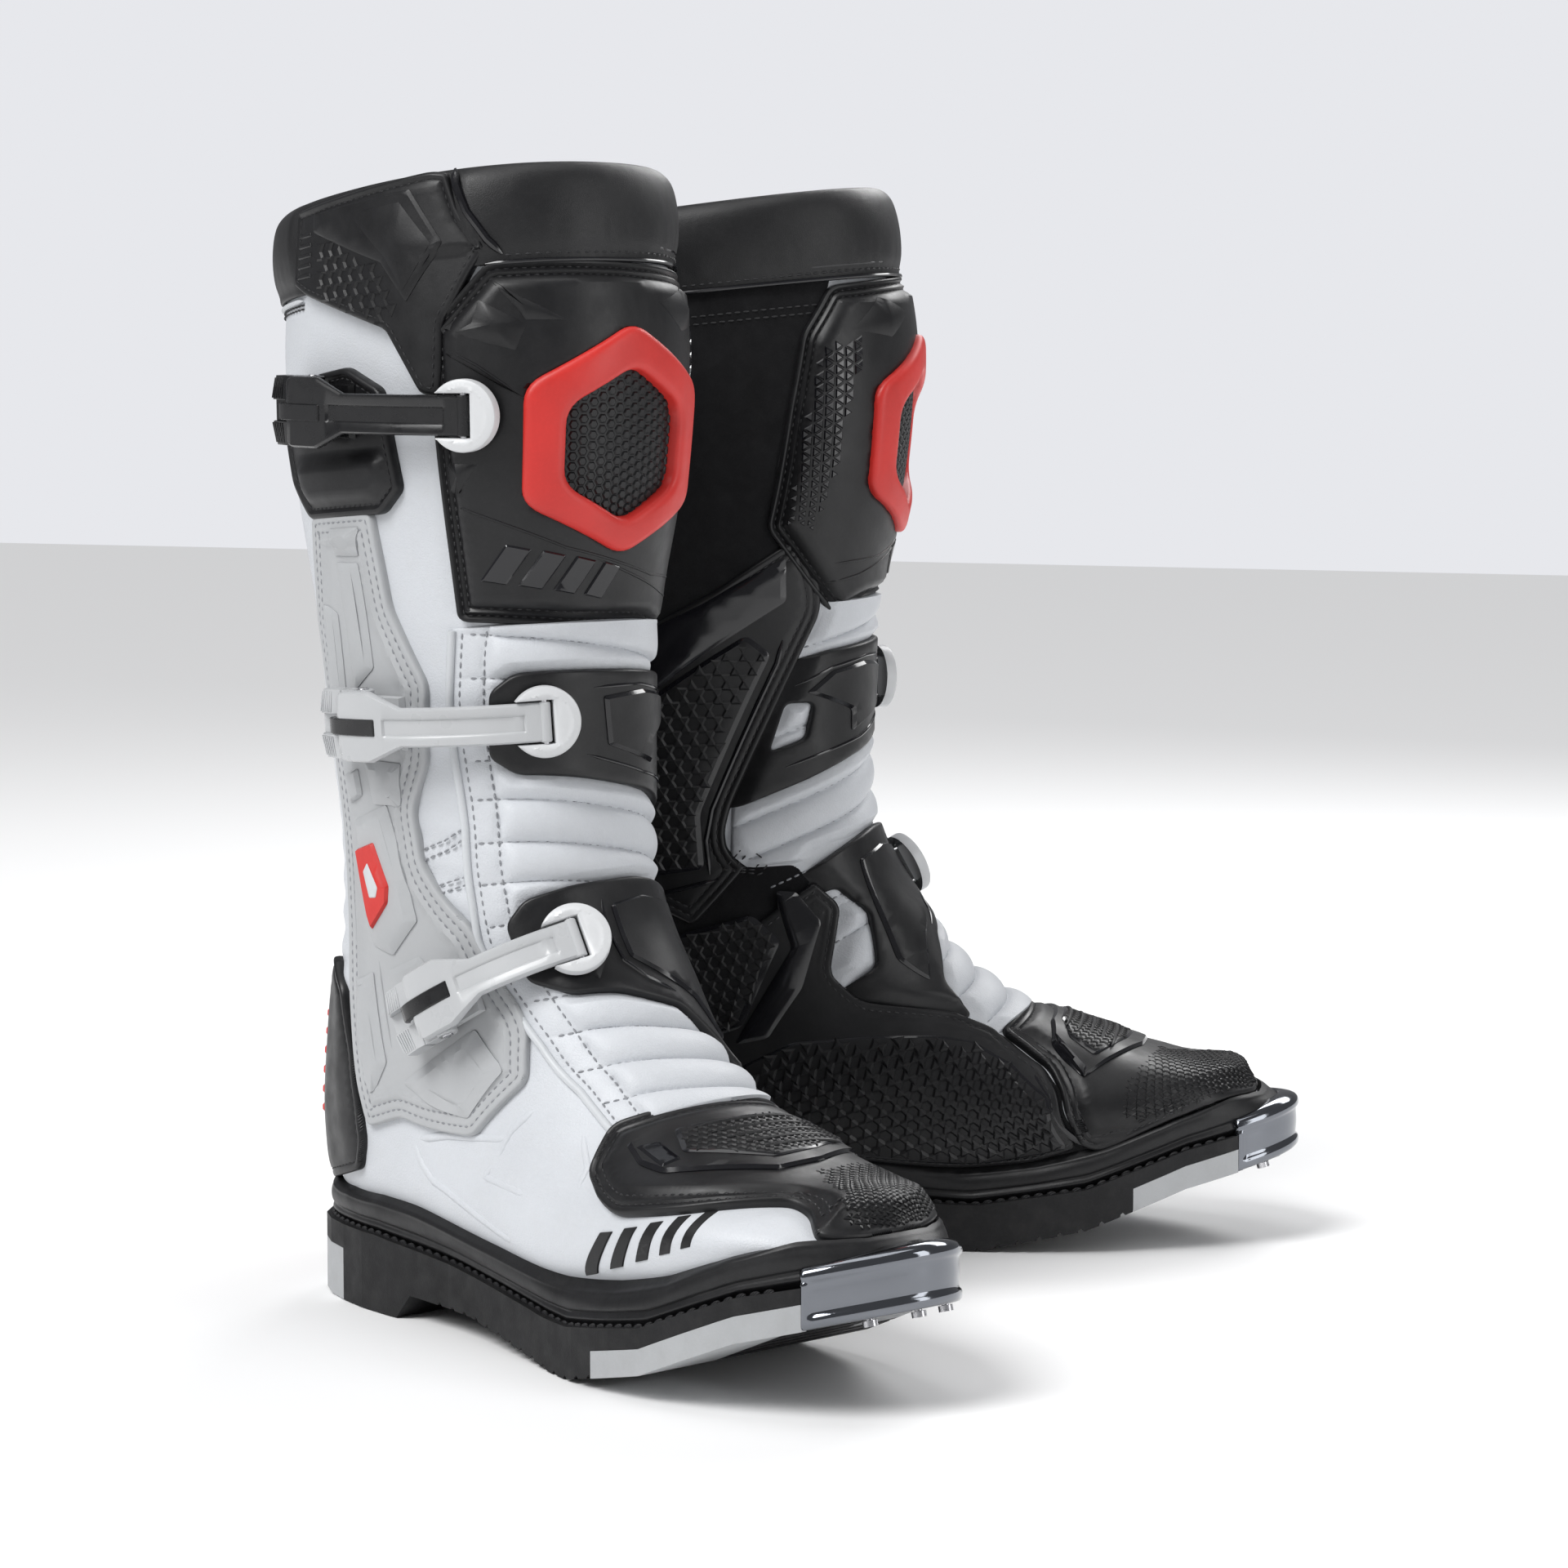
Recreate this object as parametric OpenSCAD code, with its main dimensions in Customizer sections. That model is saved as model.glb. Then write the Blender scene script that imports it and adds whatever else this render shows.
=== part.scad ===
// A pair of motocross riding boots, the right one and its mirror image.
// Each boot is worked out in its own frame: x to the toe, y to the inner
// side, z up, with x = 0 at the back of the heel and z = 0 at the ground.
// A point of the boot's skin is named by s, the station from the rim (0)
// to the toe tip (16), by a, the angle around the section from the front
// (positive to the outer side, 180 at the back and underneath), and by h,
// the height above the skin.

/* [Pair] */
// Distance between the middles of the two boots
pair_gap = 222; // [200:1:320]
// Turn of each toe outwards from straight ahead
toe_out = 20.6; // [0:0.2:30]
// Shift of the pair that puts its box over the origin
pair_shift = -5.5; // [-20:0.1:20]

/* [Upper] */
// Thickness of the leather shell with its lining
shell_t = 4; // [3:0.5:6]
// Clearance between the shell and the armour stitched over it
lay = 1; // [0.9:0.1:1.5]
// Height of the shin plate above the shell
shin_h = 8; // [4:0.5:9]
// Height of the middle, instep and toe armour above the shell
armour_h = 5; // [3:0.5:6]
// Height of the side brace, burn guard and heel counter above the shell
guard_h = 3.4; // [2:0.2:4]
// Fullness of the padded collar
collar_h = 5.5; // [3:0.5:7]

/* [Ankle] */
// Distance of the ankle axis from the back of the heel
ankle_x = 78; // [74:1:84]
// Height of the ankle axis above the ground
ankle_z = 118; // [114:1:122]
// Rise of the leg's front edge seen from the ankle axis
leg_front_deg = 49; // [47:0.5:52]
// Rise of the foot's front edge seen from the ankle axis
foot_front_deg = 35; // [30:0.5:37]
// Rise of the leg's back edge seen from the ankle axis
leg_back_deg = 22; // [20:0.5:26]
// Rise of the foot's back edge seen from the ankle axis
foot_back_deg = 12; // [8:0.5:14]

/* [Sole] */
// Height of the rubber wall above the welt
rand_h = 2.9; // [2.4:0.1:3.2]
// Height of the steel toe plate
toe_plate_h = 24; // [18:1:26]
// Thickness of the steel toe plate
toe_plate_t = 1.8; // [1.2:0.1:2.2]
// Place of the toe plate's rear edge
toe_plate_x = 288; // [280:1:296]
// Depth of the tread's grooves
tread_d = 2; // [1:0.5:4]
// Distance between the tread's grooves
tread_pitch = 8; // [6:1:12]

/* [Buckles] */
// Width of the strap
strap_w = 14; // [10:1:16]
// Thickness of the strap
strap_t = 3.2; // [2.4:0.2:4]
// Width of the strap's head
head_w = 25; // [20:1:28]
// Diameter of the round strap anchor
hub_d = 25; // [20:1:28]
// Diameter of the lever's hinge pin
pin_d = 4; // [3:0.5:5]
// Distance from the strap's middle down to the hinge pin
pin_drop = 6.6; // [6.4:0.1:7.5]

/* [Hidden] */
PIECES = ["outsole", "sole_inserts", "toe_plate", "toe_screws", "midsole", "shank", "insole",
    "foot_upper", "toe_guard", "heel_counter", "instep_plate", "ankle_brace", "foot_buckle_base",
    "foot_strap_hub", "shaft", "collar", "shin_plate", "calf_plate", "mid_plate", "side_brace",
    "burn_guard", "leg_buckle_bases", "leg_strap_hubs", "ankle_bellows", "lever_top", "lever_mid",
    "lever_low", "strap_top", "strap_mid", "strap_low"];
SIDES = ["right", "left"];
NODES = [for (side = SIDES) for (piece = PIECES) str(side, "_", piece)];
node = "all";

// ---- the boot's skin

// Stations: front x and z, back x and z, outer and inner half width,
// squareness of the front half and of the back half
stations = [
    [144, 404,  -4, 386, 56, 56, 2.3, 2.2],
    [153, 354,  -8, 340, 58, 56, 2.3, 2.2],
    [150, 302,  -2, 292, 56, 53, 2.3, 2.2],
    [142, 262,   7, 248, 51, 49, 2.3, 2.2],
    [139, 230,  13, 206, 49, 47, 2.4, 2.2],
    [138, 198,  17, 168, 46, 46, 2.5, 2.2],
    [139, 168,  18, 132, 45, 45, 2.6, 2.3],
    [147, 146,  11,  96, 43, 46, 2.6, 2.5],
    [160, 127,   9,  58, 42, 47, 2.6, 2.8],
    [175, 108,  22,  36, 42, 48, 2.5, 3.2],
    [195,  93,  72,  34, 44, 48, 2.4, 3.6],
    [217,  82, 125,  30, 48, 46, 2.3, 4.0],
    [237,  75, 175,  28, 53, 44, 2.4, 4.0],
    [255,  70, 222,  33, 51, 41, 2.5, 3.6],
    [271,  66, 258,  42, 45, 35, 2.5, 3.2],
    [286,  61, 285,  48, 33, 24, 2.4, 2.8],
    [297,  56, 300,  52, 16, 10, 2.2, 2.4]];
last_station = len(stations) - 1;

function mix(a, b, t) = a + (b - a) * t;
function unit(v) = v / norm(v);

// A smooth curve through four neighbouring points, t from the 2nd to the 3rd
function smooth(p0, p1, p2, p3, t) =
    p1 + t / 2 * (p2 - p0 + t * (2 * p0 - 5 * p1 + 4 * p2 - p3 + t * (3 * (p1 - p2) + p3 - p0)));

function station_at(s) =
    let (i = min(max(floor(s), 0), last_station - 1), p1 = stations[i], p2 = stations[i + 1])
    let (p0 = i > 0 ? stations[i - 1] : 2 * p1 - p2)
    let (p3 = i < last_station - 1 ? stations[i + 2] : 2 * p2 - p1)
    smooth(p0, p1, p2, p3, s - i);

function on_skin(s, a) =
    let (c = station_at(s), n = cos(a) > 0 ? c[6] : c[7])
    let (k = pow(pow(abs(cos(a)), n) + pow(abs(sin(a)), n), -1 / n))
    let (u = k * cos(a), v = k * sin(a), w = v > 0 ? c[4] : c[5])
    [(c[0] + c[2] + u * (c[0] - c[2])) / 2, -v * w, (c[1] + c[3] + u * (c[1] - c[3])) / 2];

function outwards(s, a) =
    unit(cross(on_skin(s, a + 0.5) - on_skin(s, a - 0.5), on_skin(s + 0.02, a) - on_skin(s - 0.02, a)));

function skin(s, a, h) = on_skin(s, a) + h * outwards(s, a);

// ---- the ankle's V-shaped edges

// Whether a skin point lies above the V that opens from the ankle axis
function above_v(s, a, h, front_deg, back_deg) =
    let (p = skin(s, a, h), rise = atan2(p[2] - ankle_z, p[0] - ankle_x))
    rise > front_deg && rise < 180 - back_deg;

// The station at which the V crosses the skin, found by halving
function v_station(a, h, front_deg, back_deg, low = 4.5, high = 8, steps = 11) =
    let (middle = (low + high) / 2)
    steps == 0 ? middle
    : above_v(middle, a, h, front_deg, back_deg)
        ? v_station(a, h, front_deg, back_deg, middle, high, steps - 1)
        : v_station(a, h, front_deg, back_deg, low, middle, steps - 1);

// Stations kept free on each side of the V
edge_gap = 0.05;
function leg_edge(a, h) = v_station(a, h, leg_front_deg, leg_back_deg) - edge_gap;
function foot_edge(a, h) = v_station(a, h, foot_front_deg, foot_back_deg) + edge_gap;

// ---- sheets laid on the skin

// A row runs from [s, a] to [s, a] in even steps, and bows by a number of stations
function row_at(row, t) =
    let (bow = len(row) > 4 ? row[4] : 0)
    [mix(row[0], row[2], t) + 4 * bow * t * (1 - t), mix(row[1], row[3], t)];

// Which side of the ankle a sheet keeps to
ANYWHERE = 0;
LEG = 1;
FOOT = 2;
function kept(sa, h, part) =
    part == LEG && sa[0] > 4.8 ? [min(sa[0], leg_edge(sa[1], h)), sa[1]]
    : part == FOOT && sa[0] < 7.4 ? [max(sa[0], foot_edge(sa[1], h)), sa[1]]
    : sa;

function sheet(rows, steps, h, part = ANYWHERE) =
    [for (row = rows) [for (j = [0:steps])
        let (sa = kept(row_at(row, j / steps), h, part)) skin(sa[0], sa[1], h)]];

// Triangles of a grid of points, turned inside out for an inner wall
function grid_faces(rows, cols, spans, start, inside) = [
    for (i = [0:rows - 2]) for (j = [0:spans - 1])
        let (p = start + i * cols + j, q = start + i * cols + (j + 1) % cols)
        each inside ? [[p, q, q + cols], [p, q + cols, p + cols]]
                    : [[p, q + cols, q], [p, p + cols, q + cols]]];
// Triangles that join one row of the outer grid to the same row of the inner
function rim_faces(row, cols, spans, start, last) = [
    for (j = [0:spans - 1])
        let (p = row * cols + j, q = row * cols + (j + 1) % cols)
        each last ? [[p, start + p, start + q], [p, start + q, q]]
                  : [[p, start + q, start + p], [p, q, start + q]]];
// Triangles that join one side of the outer grid to the inner
function side_faces(rows, cols, col, start, last) = [
    for (i = [0:rows - 2])
        let (p = i * cols + col, q = p + cols)
        each last ? [[p, q, start + q], [p, start + q, start + p]]
                  : [[p, start + q, q], [p, start + p, start + q]]];

// One solid between an outer and an inner grid of points; a ring closes on itself
module plate(outer, inner, ring = false) {
    rows = len(outer);
    cols = len(outer[0]);
    start = rows * cols;
    spans = ring ? cols : cols - 1;
    faces = concat(
        grid_faces(rows, cols, spans, 0, false), grid_faces(rows, cols, spans, start, true),
        rim_faces(0, cols, spans, start, false), rim_faces(rows - 1, cols, spans, start, true),
        ring ? [] : side_faces(rows, cols, 0, start, false),
        ring ? [] : side_faces(rows, cols, cols - 1, start, true));
    polyhedron([for (r = outer) each r, for (r = inner) each r], faces, convexity = 8);
}

// Armour or padding between two heights above the skin
module cover(rows, steps, low, high, part = ANYWHERE)
    plate(sheet(rows, steps, high, part), sheet(rows, steps, low, part));

// ---- shell of the leg and of the foot

around = 36;
function ring_angle(j) = j * 360 / around - 180;

// Rings of the leg's shell, from the rim down to the V
function leg_rings(h) = [for (t = [0:1 / 12:1.001])
    [for (j = [0:around - 1])
        let (a = ring_angle(j)) skin(mix(0.06, leg_edge(a, h), t), a, h)]];

module shaft() color("gainsboro") plate(leg_rings(0), leg_rings(-shell_t), ring = true);

// Rings of the foot's shell, from the V to a station near the toe
function foot_rings(h, toe, parts = 20) = [for (i = [0:parts])
    [for (j = [0:around - 1])
        let (a = ring_angle(j), t = i / parts) skin(mix(foot_edge(a, h), toe, pow(t, 0.9)), a, h)]];

// The foot's shell is a sock: an outer and an inner wall, each closed at the toe
function ring_middle(ring) = (ring[0] + ring[around / 2]) / 2;
function tip_faces(first, tip, inside) = [
    for (j = [0:around - 1])
        let (p = first + j, q = first + (j + 1) % around)
        inside ? [p, q, tip] : [p, tip, q]];
module foot_upper() color("gainsboro") {
    outer = foot_rings(0, 16);
    inner = foot_rings(-shell_t, 15);
    rows = len(outer);
    start = rows * around;
    tip = 2 * start;
    faces = concat(
        grid_faces(rows, around, around, 0, false), grid_faces(rows, around, around, start, true),
        rim_faces(0, around, around, start, false),
        tip_faces(start - around, tip, false), tip_faces(2 * start - around, tip + 1, true));
    points = [for (r = outer) each r, for (r = inner) each r,
        ring_middle(outer[rows - 1]), ring_middle(inner[rows - 1])];
    polyhedron(points, faces, convexity = 8);
}

// ---- leg armour

// The collar's roll over the rim: station and height of each row
collar_outside = [[0.54, 2.4], [0.4, 4.4], [0.15, collar_h], [-0.06, 4.4], [-0.13, 1], [-0.12, -4], [-0.02, -7]];
collar_inside = [[0.54, lay], [0.4, lay], [0.15, lay + 0.2], [0.02, lay + 0.4], [-0.03, -1], [-0.03, -4], [0, -5.2]];
// Angles of the collar's ends; the calf plate fills the rest of the circle
collar_from = 112;
collar_to = 408;
collar_to_low = 401;
collar_steps = 29;
function collar_strip(profile) = [for (sh = profile) [for (j = [0:collar_steps])
    skin(sh[0], mix(collar_from, sh[0] > 0.3 ? collar_to_low : collar_to, j / collar_steps), sh[1])]];
module collar() color("dimgray") plate(collar_strip(collar_outside), collar_strip(collar_inside));

module shin_plate() color("#26262a") cover([
    [0.60, -50, 0.58, 43], [0.95, -54, 0.95, 55], [1.43, -58, 1.43, 58], [1.9, -61, 1.9, 57],
    [2.4, -63, 2.4, 55], [2.85, -54, 2.85, 53], [3.15, -46, 3.08, 52], [3.42, -38, 3.22, 52]],
    9, lay + 0.4, shin_h);

module calf_plate() color("#2c2c30") cover([
    [0.0, 54, 0.0, 109], [0.25, 49, 0.25, 109], [0.48, 47, 0.50, 108], [0.66, 54, 0.64, 100],
    [0.9, 61, 0.84, 80], [1.3, 63, 0.95, 71]],
    5, lay, armour_h);

module mid_plate() color("#26262a") cover([
    [3.90, -43, 3.80, 35], [4.05, -51, 3.97, 42], [4.45, -57, 4.45, 44], [4.78, -62, 4.72, 43],
    [5.3, -65, 4.95, 33]],
    8, lay, armour_h, LEG);

module side_brace() color("lightgray") cover([
    [2.30, 80, 2.30, 112], [3.03, 79, 3.03, 121], [3.85, 66, 3.8, 117], [4.4, 65, 4.4, 117],
    [5.1, 73, 4.95, 116], [5.6, 71, 5.6, 114], [6.1, 67, 6.1, 114], [7.3, 67, 7.3, 113]],
    6, lay, guard_h, LEG);

module burn_guard() color("#222226") cover([
    [3.15, -116, 2.78, -70], [3.6, -118, 3.45, -62], [4.05, -118, 4.0, -57], [4.6, -118, 4.55, -62],
    [5.2, -118, 5.15, -71], [5.7, -118, 5.6, -76], [6.15, -116, 6.2, -78], [7.3, -114, 7.3, -80]],
    6, lay, guard_h, LEG);

// Soft front and back gussets of the ankle, between the leg's and the foot's edge
module ankle_bellows() color("white") for (span = [[-76, 76], [104, 256]])
    plate(bellows_sheet(span, 0), bellows_sheet(span, -shell_t));
bellows_gap = 0.03;
function bellows_sheet(span, h) = [for (t = [0, 0.33, 0.67, 1]) [for (j = [0:10])
    let (a = mix(span[0], span[1], j / 10))
    skin(mix(leg_edge(a, h) + bellows_gap, foot_edge(a, h) - bellows_gap, t), a, h)]];

// ---- foot armour

module toe_guard() color("#222226") cover([
    [10.3, -36, 10.25, 43], [10.9, -42, 10.9, 64], [11.5, -50, 11.5, 72], [12.1, -66, 12.0, 72],
    [12.6, -92, 12.6, 64], [13.2, -112, 13.2, 49], [13.7, -102, 13.7, 28], [14.25, -80, 14.25, 38],
    [14.8, -64, 14.8, 50], [15.3, -56, 15.3, 54], [15.8, -46, 15.8, 46]],
    9, lay + 0.6, armour_h);

module instep_plate() color("#26262a") cover([
    [6.3, -50, 6.3, 34], [6.75, -62, 6.75, 43], [7.0, -65, 7.0, 43], [7.3, -66, 7.3, 43],
    [7.68, -62, 7.68, 41], [8.05, -58, 8.05, 31], [8.3, -56, 8.3, 12], [8.6, -53, 8.6, -12],
    [9.2, -48, 9.2, -30], [9.9, -43, 9.9, -35]],
    9, lay, armour_h, FOOT);

module heel_counter() color("#222226") cover([
    [6.3, 132, 6.3, 228], [6.75, 118, 6.75, 242], [7.5, 112, 7.5, 248], [8.1, 112, 8.1, 248, -0.1],
    [8.7, 114, 8.7, 246, -0.36], [9.08, 121, 9.08, 239, -0.7]],
    10, lay + 0.4, guard_h, FOOT);

module ankle_brace() color("lightgray") cover([
    [6.3, 58, 6.3, 109], [7.45, 54, 7.45, 109], [8.0, 50, 8.0, 109], [8.45, 50, 8.45, 109],
    [8.9, 60, 8.85, 100], [9.35, 76, 9.3, 88]],
    6, lay, guard_h, FOOT);

// ---- sole

// Outer edge of the sole seen from above, heel first, outer side first
footprint = [[0, 0], [14, -28], [52, -40], [105, -41], [160, -49], [208, -58], [250, -55], [284, -41],
    [304, -20], [311, 2], [301, 22], [272, 37], [235, 45], [190, 45], [140, 38], [95, 35], [50, 36], [12, 27]];
edge_parts = 3;
function edge_at(t) =
    let (n = len(footprint), i = floor(t + n))
    smooth(footprint[(i - 1) % n], footprint[i % n], footprint[(i + 1) % n], footprint[(i + 2) % n], t + n - i);
function edge_inwards(t) = let (d = unit(edge_at(t + 0.01) - edge_at(t - 0.01))) [-d[1], d[0]];
module footprint_prism(inset) translate([0, 0, -20]) linear_extrude(140)
    polygon([for (k = [0:len(footprint) * edge_parts - 1])
        let (t = k / edge_parts) edge_at(t) + inset * edge_inwards(t)]);

// Height of the underside: heel, raised arch, flat ball and toe spring
under = [[-20, 0], [74, 0], [82, 9], [120, 8], [176, 0], [188, 0], [230, 9], [268, 25], [330, 42]];
// Height of the underside without the arch, and of the welt above it
ground = [[-20, 0], [185, 0], [230, 9], [268, 25], [330, 42]];
welt_rise = [[-20, 28], [60, 28], [110, 24], [170, 18], [230, 16], [268, 15], [316, 13.5], [330, 13.5]];
function welt(x) = lookup(x, ground) + lookup(x, welt_rise);
// Height of the midsole, just under the rubber cup that holds the upper
cup_gap = 0.7;
filler_top = [[-20, skin(9.4, 180, rand_h)[2] - cup_gap],
    for (s = [9.4:0.3:14.5]) let (p = skin(s, 180, rand_h)) [p[0], p[2] - cup_gap]];

sole_x = [-20, 0, 20, 60, 74, 82, 96, 110, 120, 150, 170, 176, 188, 200, 215, 230, 250, 268, 290, 316, 330];
// A solid between two heights that vary along the boot
module band(low, high, x0 = -20, x1 = 330) {
    xs = [x0, for (x = sole_x) if (x > x0 && x < x1) x, x1];
    rotate([90, 0, 0]) linear_extrude(160, center = true)
        polygon([for (x = xs) [x, low(x)], for (k = [len(xs) - 1:-1:0]) [xs[k], high(xs[k])]]);
}
underside = function (x) lookup(x, under);
groundline = function (x) lookup(x, ground);
weltline = function (x) welt(x);
fillerline = function (x) lookup(x, filler_top);
over = 0.15;

module heel_region(extra = 0) translate([-30, -80, -1]) cube([67 + extra, 160, 20 + extra]);
module forefoot_region(extra = 0) intersection() {
    band(function (x) groundline(x) - 1, function (x) groundline(x) + 9 + extra);
    union() {
        translate([205 - extra, -80, -20]) cube([toe_plate_x - 205 + extra, 56 + extra, 120]);
        translate([248 - extra, 20 - extra, -20]) cube([toe_plate_x - 248 + extra, 60 + extra, 120]);
    }
}
module toe_shell(outer_inset, inner_inset, x0) difference() {
    footprint_prism(outer_inset);
    translate([0, 0, -1]) scale([1, 1, 1.05]) footprint_prism(inner_inset);
    translate([x0 - 400, -100, -50]) cube([400, 200, 220]);
}
module tread_grooves() for (x = [100:tread_pitch:268])
    translate([x, 0, underside(x)]) rotate([90, 45, 0]) cube([tread_d, tread_d, 200], center = true);

screw_places = [[297, -16], [301, 2], [297, 18]];
toe_flange_x = 290;
module at_screws() for (p = screw_places) translate([p[0], p[1], groundline(p[0])])
    rotate([0, -asin(0.26), 0]) children();

module outsole() color("#1b1b1d") difference() {
    intersection() {
        footprint_prism(0);
        band(underside, weltline);
    }
    heel_region(over);
    forefoot_region(over);
    tread_grooves();
    toe_shell(-5, toe_plate_t + over, toe_plate_x - over);
    // Seat of the toe plate's flange, and of the shank
    translate([toe_flange_x - over, -100, 0]) intersection() {
        translate([0, 0, -50]) cube([60, 200, 200]);
        translate([-toe_flange_x + over, 100, 0])
            band(function (x) groundline(x) - 5, function (x) groundline(x) + toe_plate_t + over);
    }
    shank_body(over, 20);
    at_screws() translate([0, 0, -6]) cylinder(d = 3, h = 16, $fn = 32);
}

module sole_inserts() color("darkgray") {
    intersection() {
        footprint_prism(0);
        band(underside, weltline);
        heel_region();
    }
    intersection() {
        footprint_prism(0);
        band(underside, weltline);
        forefoot_region();
    }
}

module toe_plate() color("silver") difference() {
    union() {
        intersection() {
            toe_shell(0, toe_plate_t, toe_plate_x);
            band(groundline, function (x) groundline(x) + toe_plate_h);
        }
        intersection() {
            footprint_prism(0);
            band(groundline, function (x) groundline(x) + toe_plate_t);
            translate([toe_flange_x, -100, -50]) cube([60, 200, 200]);
        }
    }
    at_screws() translate([0, 0, -6]) cylinder(d = 3, h = 16, $fn = 32);
}

module toe_screws() color("silver") at_screws() {
    translate([0, 0, -2.3]) cylinder(d = 5, h = 2, $fn = 32);
    translate([0, 0, -2.3]) cylinder(d = 2.6, h = 11, $fn = 32);
}

// A strip of spring steel let into the top of the sole under the arch
shank_size = [90, 28, 2];
module shank_body(extra = 0, rise = 0) translate([80, 0, 22]) rotate([0, 5.7, 0])
    translate([-extra, -shank_size[1] / 2 - extra, -extra])
        cube(shank_size + [2 * extra, 2 * extra, 2 * extra + rise]);
module shank() color("gray") shank_body();

// The midsole's filler, and the rubber cup that wraps up around the upper
filler_end = 262;
module midsole() color("#1b1b1d") {
    intersection() {
        footprint_prism(5);
        band(function (x) weltline(x) + 0.1, fillerline, -20, filler_end);
    }
    cover([
        [8.62, 152, 8.62, 208], [8.8, 143, 8.8, 217], [9.1, 134, 9.1, 226], [9.5, 130, 9.5, 230],
        [10.2, 130, 10.2, 230], [11, 130, 11, 230], [12, 132, 12, 228], [12.6, 128, 12.6, 232],
        [13.2, 119, 13.2, 241], [13.8, 104, 13.8, 256], [14.3, 85, 14.3, 275], [14.8, 69, 14.8, 291],
        [15.3, 61, 15.3, 299], [15.85, 52, 15.85, 308]],
        12, lay, rand_h);
}

module insole() color("#3a3a3e") cover([
    [9.35, 145, 9.35, 215], [9.7, 140, 9.7, 220], [10.5, 140, 10.5, 220], [11.5, 140, 11.5, 220],
    [12.5, 140, 12.5, 220], [13.5, 145, 13.5, 215]],
    8, -shell_t - 4.6, -shell_t - 1.1);

// ---- buckles

// Each buckle's strap runs on the circle through three points: the hub at
// the front, a point on the way, and the point over the lever's pin
buckle_top = [skin(1.53, 48, 11.4), skin(1.482, 72, 12.6), skin(1.42, 95, 15.6)];
buckle_mid = [skin(4.33, 26, 9), skin(4.245, 56, 11), skin(4.08, 85, 15.4)];
buckle_low = [skin(7.28, 24, 9.4), skin(7.34, 46, 10.8), skin(7.46, 67, 15.2)];

function circle_centre(b) =
    let (p = b[0] - b[2], q = b[1] - b[2], n = cross(p, q))
    b[2] + cross(p * p * q - q * q * p, n) / (2 * n * n);
function strap_radius(b) = norm(b[0] - circle_centre(b));
function strap_angle(b) = 2 * asin(norm(b[2] - b[0]) / 2 / strap_radius(b));

// Places children so that z is the strap's axis, and x runs out through the hub
module on_buckle(b) {
    centre = circle_centre(b);
    x = unit(b[0] - centre);
    z = unit(cross(b[1] - b[0], b[2] - b[0]));
    y = cross(z, x);
    multmatrix([[x[0], y[0], z[0], centre[0]], [x[1], y[1], z[1], centre[1]],
        [x[2], y[2], z[2], centre[2]], [0, 0, 0, 1]]) children();
}

// A slice of the strap's ring: its angles, width, and reach in and out of the middle
module arc(r, from, to, width, in, out) rotate([0, 0, from])
    rotate_extrude(angle = to - from, $fn = 96) translate([r - in, -width / 2]) square([in + out, width]);

barrel_d = 4.4;
rivet_d = 2.2;
head_front = 22;
head_back = 6;
tab_back = 12;
tab_w = 6;
// How far the head stands in and out of the strap's two faces
head_in = 0.05;
head_out = 0.6;
degrees = function (length, r) length / r * 180 / PI;

module strap(b) on_buckle(b) {
    r = strap_radius(b);
    pin_at = strap_angle(b);
    difference() {
        union() {
            translate([r, 0, 0]) cylinder(d = barrel_d, h = strap_w, center = true, $fn = 48);
            arc(r, 0, pin_at, strap_w, strap_t / 2, strap_t / 2);
            // The head widens along two slopes
            intersection() {
                arc(r, pin_at - degrees(head_front, r), pin_at + degrees(head_back, r), head_w,
                    strap_t / 2 + head_in, strap_t / 2 + head_out);
                rotate([0, 0, pin_at]) rotate([90, 0, 90]) linear_extrude(2 * r) polygon([
                    [-head_front - 1, -strap_w / 2], [-head_front / 2 + 1, -head_w / 2], [head_back + 1, -head_w / 2],
                    [head_back + 1, head_w / 2], [-head_front / 2 + 1, head_w / 2], [-head_front - 1, strap_w / 2]]);
            }
            arc(r, pin_at, pin_at + degrees(tab_back, r), tab_w, strap_t / 2, strap_t / 2);
        }
        // Eye for the rivet, and the groove along the strap
        translate([r, 0, 0]) cylinder(d = rivet_d + 0.4, h = 40, center = true, $fn = 48);
        arc(r, degrees(7, r), pin_at - degrees(head_front - 6, r), 5, -0.8, 3);
    }
}

hub_slot = strap_w + 1.2;
module strap_hub(b) on_buckle(b) {
    r = strap_radius(b);
    difference() {
        translate([r - 2.4, 0, 0]) rotate([0, 90, 0]) cylinder(d = hub_d, h = 4.6, $fn = 64);
        translate([r - 10, -3, -hub_slot / 2]) cube([20, 30, hub_slot]);
    }
    translate([r, 0, 0]) cylinder(d = rivet_d, h = hub_slot + 2, center = true, $fn = 32);
}

// Places children on the lever's pin: x outwards, y to the back, z along the pin
module on_pin(b) on_buckle(b) rotate([0, 0, strap_angle(b)]) translate([strap_radius(b) - pin_drop, 0, 0])
    children();

lug_w = 16;
ear_in = 9;
ear_out = 12.2;
module buckle_base(b, foot_drop) on_pin(b) difference() {
    union() {
        cylinder(r = 3.6, h = lug_w, center = true, $fn = 48);
        translate([-foot_drop, -3.6, -lug_w / 2]) cube([foot_drop, 7.2, lug_w]);
        translate([-foot_drop, -14, -lug_w / 2]) cube([2, 20, lug_w]);
    }
    cylinder(d = pin_d + 0.4, h = lug_w + 2, center = true, $fn = 48);
}

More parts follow.
